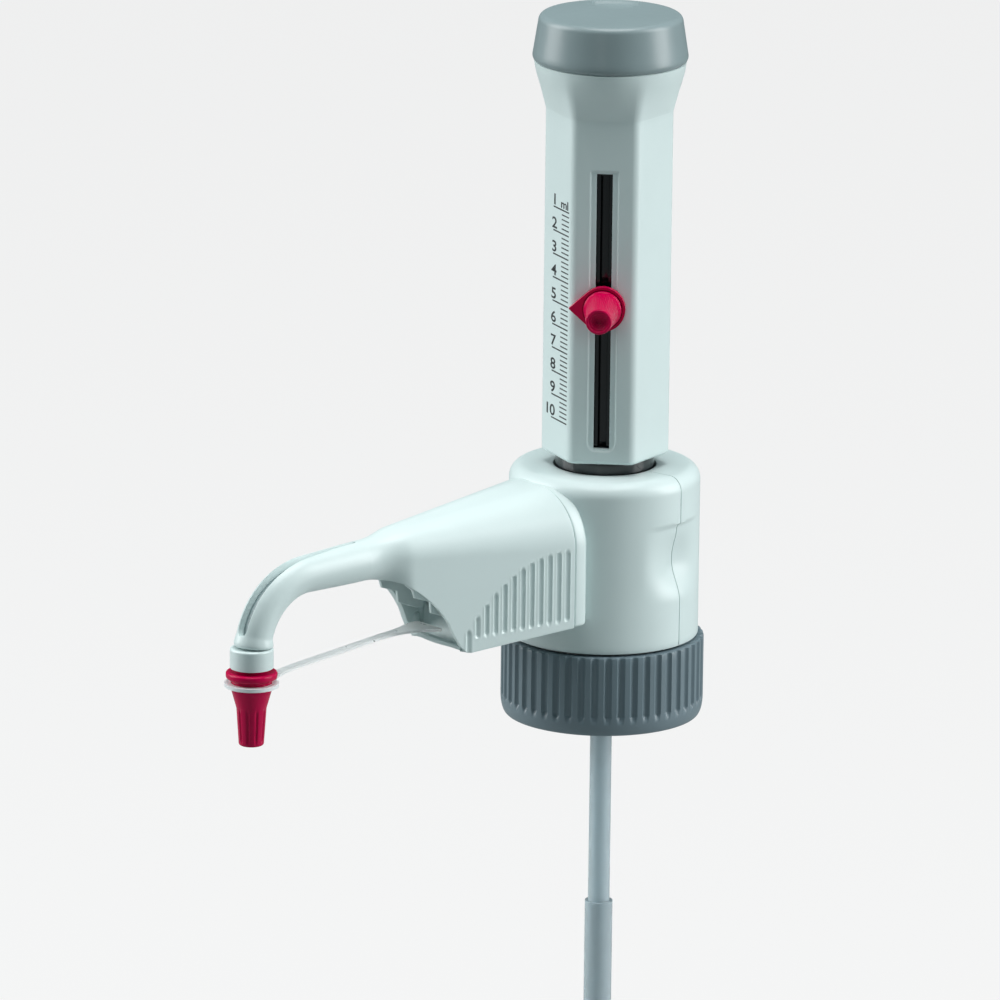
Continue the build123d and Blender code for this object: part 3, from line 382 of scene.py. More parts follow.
SHELL = plastic("shell", (0.675, 0.785, 0.78), 0.34, spread=0.012, bump=0.010)
RING_GREY = plastic("ring_grey", (0.150, 0.205, 0.235), 0.40, spread=0.04, bump=0.014)
CAP_GREY = plastic("cap_grey", (0.235, 0.300, 0.312), 0.33, spread=0.03, bump=0.016)
CRIMSON = plastic("crimson", (0.52, 0.0005, 0.062), 0.24, spread=0.05, bump=0.004, specular=0.16)
BLACK = plastic("black", (0.008, 0.010, 0.012), 0.14, spread=0.2, grain=1400.0, bump=0.002, coat=0.4)
PRINT = plastic("print", (0.012, 0.016, 0.018), 0.5, spread=0.1, bump=0.003)
FLUORO = plastic("fluoropolymer", (0.74, 0.75, 0.73), 0.45, spread=0.03, bump=0.01, milky=0.3)
RUBBER = plastic("seal_rubber", (0.012, 0.012, 0.012), 0.6, spread=0.2, bump=0.01)
STRAP = plastic("strap", (0.82, 0.86, 0.87), 0.35, spread=0.02, bump=0.004, milky=0.4)
STRAP_FILM = clear("strap_film", (0.94, 0.98, 0.98), 0.3, 0.7)
GLASS = clear("glass", (0.93, 0.97, 0.97), 0.03, 1.0, 1.47, 0.01)
TUBING = clear("tubing", (0.74, 0.84, 0.88), 0.25, 0.6)
OUTLET_TUBING = clear("outlet_tubing", (0.22, 0.31, 0.32), 0.3, 0.3)
BALL = clear("ball", (0.85, 0.9, 0.9), 0.05, 0.7, 1.5)
METAL = metal("metal", (0.55, 0.56, 0.57), 0.28)

NODE_MATERIALS = {
    SHELL: ("seal_flange", "nozzle_ferrule", "piston_rod", "air_vent_cap"),
    BLACK: ("guide_sleeve", "guide_ring", "scale_track", "clamp_shoe"),
    FLUORO: ("neck_gasket", "valve_block_core", "cylinder_seal", "piston_head", "piston_seal",
             "filling_valve_body", "discharge_valve_body"),
    CAP_GREY: ("rod_nut", "top_cap"),
    CRIMSON: ("calibration_wheel", "pointer_plate", "volume_knob", "safety_cap"),
    RUBBER: ("filling_valve_seal",),
    STRAP: ("strap_ring",),
    GLASS: ("dosing_cylinder",),
    TUBING: ("filling_tube_upper", "filling_tube_lower"),
    OUTLET_TUBING: ("discharge_tube",),
    BALL: ("filling_ball", "discharge_ball"),
    METAL: ("knob_screw",),
}


def dress_nodes():
    for material, nodes in NODE_MATERIALS.items():
        for node in nodes:
            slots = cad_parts[node].material_slots
            for slot in slots:
                slot.material = material


# Mounting ring


def flute_shape(a, r, z):
    """Cuts the rounded upright flutes into the ring's outer wall."""
    pitch = 2 * math.pi / FLUTES
    x = (np.mod(a + pitch / 2, pitch) - pitch / 2) * RING_R
    drop = np.maximum(0.0, FLUTE_LOW - z)
    s = np.sqrt(x * x + drop * drop) / FLUTE_HALF_WIDTH
    depth = FLUTE_DEPTH * np.clip(1 - s * s, 0, 1) ** 0.6
    outer = (r > RING_MOUTH_R + 0.3) & (z > 1.0)
    return np.where(outer, r - depth, r), z


def mounting_ring():
    edge = [(RING_MOUTH_R + (RING_R - RING_MOUTH_R) * math.sin(t), RING_EDGE_Z * (1 - math.cos(t)))
            for t in np.linspace(0, math.pi / 2, 9)]
    fine = [(RING_R, z) for z in np.arange(RING_EDGE_Z - 0.8, FLUTE_LOW + 1.6, 0.2) if z > RING_EDGE_Z]
    wall = [(RING_R, z) for z in np.linspace(FLUTE_LOW + 2.0, RING_TOP - 0.5, 8)]
    web_low, web_top = RING_WEB
    rest = [
        (RING_R - 0.12, RING_TOP - 0.15),
        (RING_R - 0.45, RING_TOP),
        (RING_SKIRT_R + 0.3, RING_TOP),
        (RING_SKIRT_R, RING_TOP - 0.3),
        (RING_SKIRT_R, web_top),
        (RING_WEB_HOLE_R, web_top),
        (RING_WEB_HOLE_R, web_low),
        (NECK_R, web_low),
        (NECK_R, 1.0),
        (NECK_R + 0.9, 0.0),
    ]
    profile = np.array(edge + fine + wall + rest)
    obj = lathe("ring_body", profile, RING_GREY, "ring", FLUTES * 16, closed=True, shape=flute_shape)
    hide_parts("mounting_ring")
    return obj


def neck_thread():
    """The thread inside the ring, one rib of two and a quarter turns that fades in and out."""
    turns, steps = 2.25, 270
    section = [(0.0, -1.35), (-1.0, -0.6), (-1.0, 0.6), (0.0, 1.35)]
    rows = []
    for k in range(steps + 1):
        share = k / steps
        fade = float(smooth(share, 0, 0.08) * (1 - smooth(share, 0.92, 1)))
        ang = 2 * math.pi * turns * share
        z0 = 2.6 + THREAD_PITCH * turns * share
        rows.append([
            ((NECK_R + 0.05 + dr * THREAD_DEPTH * fade) * math.cos(ang),
             (NECK_R + 0.05 + dr * THREAD_DEPTH * fade) * math.sin(ang),
             z0 + dz)
            for dr, dz in section
        ])
    verts, faces = grid(np.array(rows), wrap_cols=True)
    obj = link("ring_thread", verts, faces, RING_GREY, "ring")
    return obj


# Valve block


def scoop(arc, z):
    """Depth of the finger recess at a distance along the wall from the seam: soft below, a crease above."""
    low, deep, crease, top = SCOOP_Z
    across = np.cos(np.clip(np.abs(arc) / SCOOP_REACH, 0, 1) * math.pi / 2) ** 2
    rise = smooth(z, low, deep)
    fall = 1 - 0.55 * smooth(z, deep + 1.0, crease) - 0.45 * smooth(z, crease, top)
    return SCOOP_DEPTH * across * rise * fall


def shell_half(name, node, start, end):
    """One shell of the block between two directions round the axis."""
    low, high = BLOCK_Z
    round_r = BLOCK_EDGE_R
    path = [(BLOCK_R - 1.6, low), (BLOCK_R - 0.45, low), (BLOCK_R - 0.12, low + 0.12), (BLOCK_R, low + 0.45)]
    path += [(BLOCK_R, z) for z in np.arange(low + 2, high - round_r - 0.2, 0.75)]
    path += [(BLOCK_R - round_r + round_r * math.cos(t), high - round_r + round_r * math.sin(t))
             for t in np.linspace(0, math.pi / 2, 10)]
    path += [(r, high) for r in np.linspace(BLOCK_R - round_r - 2, BLOCK_OPENING_R + 0.8, 4)]
    path += [(BLOCK_OPENING_R + 0.2, high - 0.15), (BLOCK_OPENING_R, high - 0.6),
             (BLOCK_OPENING_R, high - 2.0)]
    profile = np.array(path)
    gap = math.degrees(SEAM_GAP / 2 / BLOCK_R)
    a0, a1 = start + gap, end - gap
    near = 32.0
    mid = np.linspace(a0 + near, a1 - near, max(2, int((a1 - a0 - 2 * near) / 3)))[1:-1]
    ang = np.concatenate([np.arange(a0, a0 + near, 1.0), [a0 + near], mid, [a1 - near],
                          np.arange(a1 - near + 1.0, a1, 1.0), [a1]])
    a = np.repeat(ang[None, :], len(profile), axis=0)
    r = np.repeat(profile[:, :1], len(ang), axis=1)
    z = np.repeat(profile[:, 1:], len(ang), axis=1)
    for seam in (SEAM_ANGLE, -SEAM_ANGLE):
        off = (a - seam + 180.0) % 360.0 - 180.0
        r = r - scoop(np.radians(off) * BLOCK_R, z) * (r > BLOCK_R - 0.5)
    rad = np.radians(a)
    pts = np.stack([r * np.cos(rad), r * np.sin(rad), z], axis=2)
    verts, faces = grid(pts)
    obj = link(name, verts, faces, SHELL, "block", 50.0)
    thicken(obj, BLOCK_WALL, 0.16)
    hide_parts(node)
    return obj


def arch_outline(half_width, bottom, top, radius, foot, per=14):
    """The closed D of the spout's flange, as (y, z) points."""
    corners = (
        (half_width - foot, bottom + foot, foot, -90),
        (half_width - radius, top - radius, radius, 0),
        (-half_width + radius, top - radius, radius, 90),
        (-half_width + foot, bottom + foot, foot, 180),
    )
    pts = []
    for cy, cz, r, a0 in corners:
        for k in range(per + 1):
            t = math.radians(a0 + 90 * k / per)
            pts.append((cy + r * math.cos(t), cz + r * math.sin(t)))
    return np.array(pts)


def spout_flange():
    """The raised D-shaped band on the front shell that the spout butts against."""
    rows = []
    back = FLANGE_BACK_U
    steps = [(back - 5.0, 5.0), (back - 0.3, 2.6), (back, 1.9), (back + 0.1, 1.3), (back + 0.4, 0.7),
             (back + 0.9, 0.25), (back + 1.6, 0.0), (FLANGE_U - 0.5, 0.0), (FLANGE_U - 0.2, 0.06),
             (FLANGE_U - 0.05, 0.2), (FLANGE_U, 0.45), (FLANGE_U, 2.0), (FLANGE_U - 0.3, 2.3), (18.0, 2.3)]
    for u, inset in steps:
        outline = arch_outline(BELL_HALF_WIDTH[0] - inset, FLANGE_BOTTOM + inset, BELL_TOP[0] - inset,
                               BELL_ARCH_R[0] - inset, max(0.3, FLANGE_FOOT_R - inset))
        rows.append([(-u, y, z) for y, z in outline])
    verts, faces = grid(np.array(rows), wrap_cols=True)
    obj = link("block_spout_flange", verts, faces, SHELL, "block", 55.0)
    return obj


# Piston housing


def hexagon_radius(a):
    """Distance from the axis to the rounded hexagon in a direction, in radians."""
    off = np.abs(np.mod(a - math.radians(SLOT_ANGLE) + math.pi / 6, math.pi / 3) - math.pi / 6)
    flat = (HOUSING_APOTHEM - HOUSING_CORNER_R) * math.tan(math.pi / 6)
    split = math.atan2(flat, HOUSING_APOTHEM)
    centre = math.hypot(HOUSING_APOTHEM - HOUSING_CORNER_R, flat)
    turn = math.pi / 6 - off
    bow = centre * np.cos(turn) + np.sqrt(np.maximum(0, HOUSING_CORNER_R ** 2 - (centre * np.sin(turn)) ** 2))
    return np.where(off < split, HOUSING_APOTHEM / np.cos(off), bow)


def housing_radius(a, z):
    """The hexagon, flaring above a crisp line while its corners melt into the round top."""
    facet = np.interp(z, [p[0] for p in FLARE], [p[1] for p in FLARE])
    melt = np.clip((HOUSING_Z[1] - z) / (HOUSING_Z[1] - FLARE_Z), 0.03, 1)
    corner = (hexagon_radius(a) - HOUSING_APOTHEM) * melt
    drop = np.clip((HOUSING_Z[0] + HOUSING_BEVEL - z) / HOUSING_BEVEL, 0, 1)
    return facet + corner - HOUSING_BEVEL * drop ** 1.6


def housing_angles():
    """Directions for the housing's columns: close together on the slot's facet and at the corners."""
    slot_t = np.concatenate([
        np.linspace(-7.6, -4.4, 7), np.linspace(-4.1, -3.4, 6), np.linspace(-3.1, -SLOT_HALF_WIDTH, 4),
        np.linspace(-1.6, 1.6, 5),
        np.linspace(SLOT_HALF_WIDTH, 3.1, 4), np.linspace(3.4, 4.1, 6), np.linspace(4.4, 7.6, 7)])
    first = np.degrees(np.arctan2(slot_t, HOUSING_APOTHEM)) + SLOT_ANGLE
    rest = []
    for side in range(6):
        middle = SLOT_ANGLE + 60 * side
        if side:
            rest += list(np.linspace(middle - 23.5, middle + 23.5, 9))
        rest += list(np.linspace(middle + 26.4, middle + 33.6, 7))
    return np.radians(np.unique(np.round(np.concatenate([first, rest]) % 360.0, 5)))


def piston_housing():
    low, high = HOUSING_Z
    z_low, z_high = SLOT_Z
    foot = z_low - RELIEF_MARGIN
    heights = np.concatenate([
        [low, low + 0.2, low + 0.45, low + 0.7, low + 0.95], np.arange(low + 1.4, foot - 0.3, 0.5),
        np.arange(foot - 0.2, z_low - 0.05, 0.2), [z_low], np.arange(z_low + 0.3, z_low + 3.6, 0.3),
        np.arange(z_low + 5, z_high - 1, 3.0), [z_high],
        np.arange(z_high + 0.4, z_high + RELIEF_MARGIN + 1.2, 0.25),
        np.arange(z_high + 4, FLARE_Z - 0.5, 1.5), [FLARE_Z - 0.12, FLARE_Z + 0.12],
        np.arange(FLARE_Z + 0.8, high - 0.6, 0.8), [high - 0.35, high - 0.1, high]])
    heights = np.unique(np.round(heights, 4))
    ang = housing_angles()
    z = np.repeat(heights[:, None], len(ang), axis=1)
    a = np.repeat(ang[None, :], len(heights), axis=0)
    r = housing_radius(a, z)
    x, y = r * np.cos(a), r * np.sin(a)
    slot = math.radians(SLOT_ANGLE)
    n = x * math.cos(slot) + y * math.sin(slot)
    t = -x * math.sin(slot) + y * math.cos(slot)
    inner = RELIEF_HALF_WIDTH - RELIEF_CORNER
    side, below = np.maximum(0, np.abs(t) - inner), np.maximum(0, foot + RELIEF_CORNER - z)
    away = np.maximum(np.sqrt(side * side + below * below) - RELIEF_CORNER, z - z_high - RELIEF_MARGIN)
    sink = RELIEF_DEPTH * (1 - smooth(away, -0.22, 0.22)) * (n > HOUSING_APOTHEM - 1)
    x, y = x - sink * math.cos(slot), y - sink * math.sin(slot)
    pts = np.stack([x, y, z], axis=2)

    def skip(row, col):
        nxt = (col + 1) % len(ang)
        mid_t = (t[row, col] + t[row, nxt]) / 2
        mid_z = (heights[row] + heights[row + 1]) / 2
        return n[row, col] > 0 and abs(mid_t) < SLOT_HALF_WIDTH and z_low < mid_z < z_high

    verts, faces = grid(pts, wrap_cols=True, skip=skip)
    obj = link("housing_body", verts, faces, SHELL, "piston", 50.0)
    thicken(obj, HOUSING_WALL, 0.14)
    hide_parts("piston_housing")
    web_low, web_high = WEB_Z
    web = np.array([(WEB_HOLE_R, web_low), (WEB_R, web_low), (WEB_R, web_high), (WEB_HOLE_R, web_high)])
    plate = lathe("housing_web", rounded(web, 0.3, 3, closed=True), SHELL, "piston", 72, closed=True)
    return obj


def cap_dish(a, r, z):
    """Sinks the round dish that is cut in the cap's top at its rear rim."""
    middle_x, middle_y = CAP_DISH_X * math.cos(math.pi / 4), CAP_DISH_X * math.sin(math.pi / 4)
    across = np.hypot(r * np.cos(a) - middle_x, r * np.sin(a) - middle_y)
    sunk = CAP_DISH_DEPTH * (1 - smooth(across, CAP_DISH_R - 0.5, CAP_DISH_R)) * (1 - smooth(r, 15.5, 17.9))
    return r, z - sunk * (z > CAP_Z[1] - 1.0)


def top_cap():
    """The shallow domed cap over the housing's flare."""
    low, high = CAP_Z
    roof = high - CAP_ROOF
    wall = [(0.0, roof), (CAP_BORE_R, roof), (CAP_BORE_R, low + 0.3), (CAP_BORE_R + 0.3, low),
            (CAP_R - 1.0, low), (CAP_R - 0.65, low + 0.15), (CAP_R - 0.2, low + 0.75),
            (CAP_R - 0.03, low + 1.2), (CAP_R, low + 1.7)]
    edge = [(CAP_TOP_R - CAP_EDGE_R * (1 - math.sin(t)), high - CAP_EDGE_R * (1 - math.cos(t)))
            for t in np.linspace(math.radians(84), 0, 9)]
    top = [(r, high + 0.12 * (1 - (r / CAP_TOP_R) ** 2)) for r in np.arange(17.6, -0.1, -0.32)]
    slope = densify(np.array([wall[-1], edge[0]]), 1.5)[1:-1]
    profile = np.concatenate([wall, slope, edge, top, [(0.0, high + 0.12)]])
    obj = lathe("cap_top", profile, CAP_GREY, "cover", 240, shape=cap_dish)
    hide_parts("top_cap")
    return obj


# Pointer's knob


def volume_knob():
    """The tapered knob, with fine grip ribs and stepped rings in its tip."""
    length = KNOB_END_N - KNOB_N
    outline = rounded([(0.0, 0.0), (KNOB_BASE_R, 0.0), (KNOB_BASE_R, 1.6), (KNOB_BASE_R - 0.25, 1.8),
                       (KNOB_TIP_R, length), (2.75, length), (2.75, length - 0.5), (2.1, length - 0.5),
                       (2.1, length - 0.9), (1.45, length - 0.9), (1.45, length - 1.3), (0.8, length - 1.3),
                       (0.8, length - 1.7), (0.0, length - 1.7)], 0.5, 3)
    profile = densify(outline, 1.0)
    ang = np.linspace(0, 2 * math.pi, KNOB_RIBS * 8, endpoint=False)
    a = np.repeat(ang[None, :], len(profile), axis=0)
    r = np.repeat(profile[:, :1], len(ang), axis=1)
    d = np.repeat(profile[:, 1:], len(ang), axis=1)
    ribbed = smooth(d, 2.0, 2.6) * (1 - smooth(d, length - 1.3, length - 0.8)) * (r > KNOB_TIP_R - 0.2)
    r = r - KNOB_RIB_DEPTH * ribbed * (0.5 + 0.5 * np.cos(KNOB_RIBS * a)) ** 2
    slot = math.radians(SLOT_ANGLE)
    n = KNOB_N + d
    across = r * np.cos(a)
    pts = np.stack([n * math.cos(slot) - across * math.sin(slot),
                    n * math.sin(slot) + across * math.cos(slot),
                    POINTER_Z + r * np.sin(a)], axis=2)
    verts, faces = grid(pts, wrap_cols=True)
    obj = link("knob_grip", verts, faces, CRIMSON, "knob", 30.0)
    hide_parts("volume_knob")
    return obj


# Volume scale


def facet_point(t, n, z, angle=SCALE_ANGLE):
    """A point on a facet: t along it to the right as seen from outside, n outwards."""
    c, s = math.cos(math.radians(angle)), math.sin(math.radians(angle))
    return (n * c - t * s, n * s + t * c, z)


def volume_scale():
    """The printed marks: a long one for each millilitre and short ones between."""
    verts, faces = [], []
    face_n = HOUSING_APOTHEM + 0.012

    def mark(left, z, half):
        base = len(verts)
        for n in (HOUSING_APOTHEM - 0.05, face_n):
            for t, zz in ((left, z - half), (MARK_RIGHT, z - half), (MARK_RIGHT, z + half), (left, z + half)):
                verts.append(facet_point(t, n, zz))
        faces.extend([(base + 4, base + 5, base + 6, base + 7), (base, base + 1, base + 5, base + 4),
                      (base + 1, base + 2, base + 6, base + 5), (base + 2, base + 3, base + 7, base + 6),
                      (base + 3, base, base + 4, base + 7), (base + 3, base + 2, base + 1, base)])

    for k in range(9 * MARKS_PER_ML + 1):
        z = FIRST_MARK_Z - k * MARK_PITCH / MARKS_PER_ML
        whole = k % MARKS_PER_ML == 0
        mark(LONG_MARK_LEFT if whole else SHORT_MARK_LEFT, z, 0.2 if whole else 0.18)
    obj = link("scale_marks", verts, faces, PRINT, "piston")
    return obj


def lettering(name, text, size, t, z):
    """Small printed characters on the scale's facet, as thin solids."""
    curve = bpy.data.curves.new(name, "FONT")
    curve.body = text
    curve.size = size * MM
    curve.align_x = "RIGHT"
    curve.align_y = "CENTER"
    curve.extrude = 0.03 * MM
    curve.offset = 0.07 * MM
    curve.space_character = 0.95
    obj = bpy.data.objects.new(name, curve)
    bpy.context.scene.collection.objects.link(obj)
    bpy.context.view_layer.update()
    mesh = bpy.data.meshes.new_from_object(obj)
    bpy.data.objects.remove(obj)
    a = math.radians(SCALE_ANGLE)
    side, up = Vector((-math.sin(a), math.cos(a), 0)), Vector((0, 0, 1))
    out = Vector((math.cos(a), math.sin(a), 0))
    face = (HOUSING_APOTHEM - 0.015) * MM
    for v in mesh.vertices:
        v.co = side * (v.co.x * NUMERAL_STRETCH + t * MM) + up * (v.co.y + z * MM) + out * (face + v.co.z)
    mesh.materials.clear()
    mesh.materials.append(PRINT)
    piece = bpy.data.objects.new(name, mesh)
    bpy.context.scene.collection.objects.link(piece)
    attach(piece, "piston")
    return piece


def scale_numbers():
    for number in range(1, 11):
        z = FIRST_MARK_Z - (number - 1) * MARK_PITCH
        lettering(f"scale_number_{number}", str(number), NUMERAL_SIZE, 0.1, z + 1.95)
    lettering("scale_unit", "ml", UNIT_SIZE, 7.1, FIRST_MARK_Z + 1.6)


# Spout


def path_frame(s):
    """The spout's middle line and its direction, s millimetres past the bell's end: (u, z, du, dz)."""
    straight = COVER_END_U - BEND_R - BELL_END_U
    bend = BEND_R * math.pi / 2
    z = COVER_Z - COVER_SLOPE * min(s, straight)
    if s <= straight:
        return BELL_END_U + s, z, 1.0, 0.0
    if s <= straight + bend:
        t = (s - straight) / BEND_R
        return (COVER_END_U - BEND_R + BEND_R * math.sin(t), z - BEND_R + BEND_R * math.cos(t),
                math.cos(t), -math.sin(t))
    return COVER_END_U, z - BEND_R - (s - straight - bend), 0.0, -1.0


def cover_length(bottom):
    """How far along the cover a height past its bend lies."""
    straight = COVER_END_U - BEND_R - BELL_END_U
    return straight + BEND_R * math.pi / 2 + (COVER_Z - COVER_SLOPE * straight - BEND_R - bottom)


def cover_radius(s, total):
    """The cover tapers off the bell and flares a little towards the ferrule."""
    r = COVER_R[0] + (COVER_R[1] - COVER_R[0]) * float(smooth(s, 0, 24))
    flare = 0.45 * float(smooth(s, total - 3.2, total - 0.4))
    return r + flare - 0.25 * float(smooth(s, total - 0.4, total))


FRONT_CUT_U = (26.6, 43.0, 57.5, 58.6, 59.6, 61.0, 62.8, 64.6, 67.2, 70.2, 74.1, 77.4, 80.3, 84.0, 90.0)
FRONT_CUT_Z = (32.1, 30.5, 29.0, 28.95, 29.6, 31.1, 34.2, 38.1, 41.7, 45.0, 48.2, 50.3, 51.2, 51.7, 51.8)


def bell_value(pair, u):
    return pair[0] + (pair[1] - pair[0]) * np.clip((u - BELL_START_U) / (BELL_END_U - BELL_START_U), 0, 1)


def bell_profile(u, share):
    """A point of the bell's arch at distance u: share 0 is the top, 1 the lower rim. Gives (y, z)."""
    w, top, r = bell_value(BELL_HALF_WIDTH, u), bell_value(BELL_TOP, u), bell_value(BELL_ARCH_R, u)
    rim = float(np.interp(u, FRONT_CUT_U, FRONT_CUT_Z))
    lengths = (w - r, r * math.pi / 2, max(0.2, top - r - rim))
    d = share * sum(lengths)
    if d <= lengths[0]:
        return d, top
    d -= lengths[0]
    if d <= lengths[1]:
        t = d / r
        return w - r + r * math.sin(t), top - r + r * math.cos(t)
    d -= lengths[1]
    return w, top - r - d


def groove_height(u, z):
    """The twelve upright grooves of each cheek, with a faint raised lip round each."""
    height = 0.0
    half = 0.74
    for k in range(12):
        part = k / 11
        centre = 28.9 + 2.7 * k
        if abs(u - centre) > 2.2:
            continue
        top = 54.15 - 18.9 * part ** 2.2 - half
        low = 34.3 - 1.5 * part + half
        if k == 11:
            low = 20.0
        over = max(0.0, z - top, low - z)
        s = math.hypot(u - centre, over) / half
        height -= 0.55 * max(0.0, 1 - s * s) ** 0.5
        height += 0.10 * math.exp(-((s - 1.22) / 0.24) ** 2)
    return height


CLOSING_U = 75.0
WINDOW_HALF_WIDTH = 1.8
WINDOW_START = 1.0
WINDOW_END_Z = 42.0


def window_half_width(s, end):
    """Half the width of the opening over the tube, at a distance along the cover."""
    if s <= WINDOW_START or s >= end:
        return 0.0
    wide = 0.55 + (WINDOW_HALF_WIDTH - 0.55) * float(smooth(s, WINDOW_START + 3, WINDOW_START + 26))
    head = math.sqrt(max(0.0, 1 - (max(0.0, WINDOW_START + 0.55 - s) / 0.55) ** 2))
    tail = math.sqrt(max(0.0, 1 - (max(0.0, s - end + WINDOW_HALF_WIDTH) / WINDOW_HALF_WIDTH) ** 2))
    return wide * head * tail


def discharge_housing():
    """The spout's moulding in one skin: an open bell that closes into the tube's cover."""
    total = cover_length(COVER_BOTTOM)
    window_end = cover_length(WINDOW_END_Z)
    bell_u = np.concatenate([np.arange(BELL_START_U, 61.0, 0.34), np.arange(61.3, BELL_END_U - 0.4, 0.9)])
    head = [WINDOW_START + d for d in (-0.6, -0.2, 0.0, 0.08, 0.25, 0.55, 1.2, 2.2)]
    tail = [window_end + d for d in (-2.6, -WINDOW_HALF_WIDTH, -1.2, -0.75, -0.4, -0.15, 0.0, 0.4, 0.9, 1.5)]
    between = list(np.arange(head[-1] + 1.1, tail[0] - 0.5, 1.1))
    cover_s = np.array(head + between + tail + [total - 0.5, total - 0.15, total])
    inner, outer = 6, 84
    columns = np.arange(-outer, outer + 1)
    rest_share = 0.1
    rows, widths = [], []
    for u in bell_u:
        row = []
        closing = float(smooth(u, CLOSING_U, BELL_END_U))
        for j in columns:
            k = abs(j)
            if k <= inner:
                share = rest_share * k / inner
            else:
                share = rest_share + (1 - rest_share) * (k - inner) / (outer - inner)
            y, z = bell_profile(u, share)
            y2, z2 = COVER_R[0] * math.sin(math.pi * share), COVER_Z + COVER_R[0] * math.cos(math.pi * share)
            y, z = y + (y2 - y) * closing, z + (z2 - z) * closing
            if z < 54.5 and u < 61.5:
                y += groove_height(u, z)
            row.append((-u, math.copysign(y, j) if j else 0.0, z))
        rows.append(row)
        widths.append(0.0)
    for s in cover_s:
        u, z, du, dz = path_frame(s)
        half = window_half_width(s, window_end)
        fade = min(abs(s - WINDOW_START), abs(s - window_end)) if half == 0 else 0
        spread = half if half else WINDOW_HALF_WIDTH * float(smooth(fade, 0, 4.0))
        r = cover_radius(s, total)
        angle = math.asin(max(spread, 0.02) / r)
        row = []
        for j in columns:
            k = abs(j)
            t = angle * k / inner if k <= inner else angle + (math.pi - angle) * (k - inner) / (outer - inner)
            y, out = r * math.sin(t), r * math.cos(t)
            row.append((-(u - dz * out), math.copysign(y, j) if j else 0.0, z + du * out))
        rows.append(row)
        widths.append(half)
    pts = np.array(rows)
    pts[:, 0, 1] = np.where(np.arange(len(rows)) >= len(bell_u), 0.0, pts[:, 0, 1])
    pts[:, -1, 1] = np.where(np.arange(len(rows)) >= len(bell_u), 0.0, pts[:, -1, 1])

    def skip(row, col):
        k = max(abs(columns[col]), abs(columns[col + 1]))
        return k <= inner and (widths[row] > 0 or widths[min(row + 1, len(rows) - 1)] > 0)

    verts, faces = grid(pts, skip=skip)
    obj = link("spout_body", verts, faces, SHELL, "block", 50.0)
    group = obj.vertex_groups.new(name="wall")
    for v in obj.data.vertices:
        u = -v.co.x / MM
        group.add([v.index], 0.66 + 0.34 * float(smooth(u, CLOSING_U, BELL_END_U)), "REPLACE")
    thicken(obj, 2.6, 0.22, "wall")
    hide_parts("discharge_housing")
    return obj


STEP_PLATE = ((77.4, 58.8), (77.2, 50.3), (74.6, 48.2), (73.9, 46.0), (68.5, 44.1), (68.1, 40.9),
              (61.9, 38.4), (59.2, 38.0), (58.9, 63.6), (74.6, 61.0))


def half_width_at(u):
    return float(bell_value(BELL_HALF_WIDTH, u))


def slab(name, outline, y0, y1, material, body, bevel=0.2):
    """A flat plate between two y values, from its outline of (u, z) points."""
    count = len(outline)
    verts = [(-u, y, z) for y in (y0, y1) for u, z in outline]
    faces = [tuple(range(count)), tuple(reversed(range(count, 2 * count)))]
    faces += [(k, k + count, (k + 1) % count + count, (k + 1) % count) for k in range(count)]
    if y1 < y0:
        faces = [face[::-1] for face in faces]
    obj = link(name, verts, faces, material, body)
    soften(obj, bevel, 2)
    return obj


def spout_inside():
    """A stepped plate hanging inside each cheek."""
    for side, label in ((1, "left"), (-1, "right")):
        plate = slab(f"spout_step_{label}", STEP_PLATE, side * 6.5, side * 7.5, SHELL, "block")


WEB_REACH_U = 58.0
WEB_BACK_U = 55.2


def cup_web():
    """The curved web low between the cheeks: a shallow dish with a raised back, over the strap's root."""
    rows_n, cols_n = 26, 41
    top = []
    for r in range(rows_n):
        v = r / (rows_n - 1)
        row = []
        for c in range(cols_n):
            h = c / (cols_n - 1) * 2 - 1
            w = half_width_at(WEB_REACH_U) - 1.5
            bow = 1 - h * h
            u = WEB_BACK_U + v * (3.6 + 9.0 * bow)
            back = (1 - float(smooth(v, 0.0, 0.42))) * (8.8 - 3.0 * bow)
            z = 29.9 + 4.3 * bow * float(smooth(v, 0.2, 0.9)) + back
            y = h * (w - (u - WEB_BACK_U) * 0.2)
            row.append((-u, y, z))
        top.append(row)
    verts, faces = grid(np.array(top))
    obj = link("strap_web", verts, faces, SHELL, "block", 60.0)
    mod = obj.modifiers.new("wall", "SOLIDIFY")
    mod.thickness = 1.2 * MM
    mod.offset = -1.0
    soften(obj, 0.25)
    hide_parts("strap_anchor")
    return obj


# Safety cap, ring and strap


def safety_cap():
    """The closed cap under the nozzle, with upright grip grooves round its barrel."""
    outline = [(0.0, SAFETY_BORE_Z), (2.4, SAFETY_BORE_Z), (2.4, 36.0), (3.9, 36.0), (3.9, SAFETY_TOP),
               (7.0, SAFETY_TOP), (7.0, 30.9), (5.5, 30.9), (5.5, 27.6), (4.1, 22.6), (3.4, SAFETY_LOW),
               (0.0, SAFETY_LOW)]
    profile = densify(rounded(outline, 0.6, 4), 0.8)

    def grooves(a, r, z):
        s = np.abs(np.mod(a * SAFETY_GROOVES / (2 * math.pi) + 0.5, 1) - 0.5) / 0.17
        run = smooth(z, 13.2, 13.9) * (1 - smooth(z, 21.7, 22.5)) * (r > 3.3)
        return r - 0.28 * run * np.clip(1 - s * s, 0, 1) ** 0.5, z

    obj = lathe("safety_cap_body", profile, CRIMSON, "safety_cap", SAFETY_GROOVES * 24, (-NOZZLE_U, 0.0),
                shape=grooves, sharp=32.0)
    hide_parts("safety_cap")
    return obj


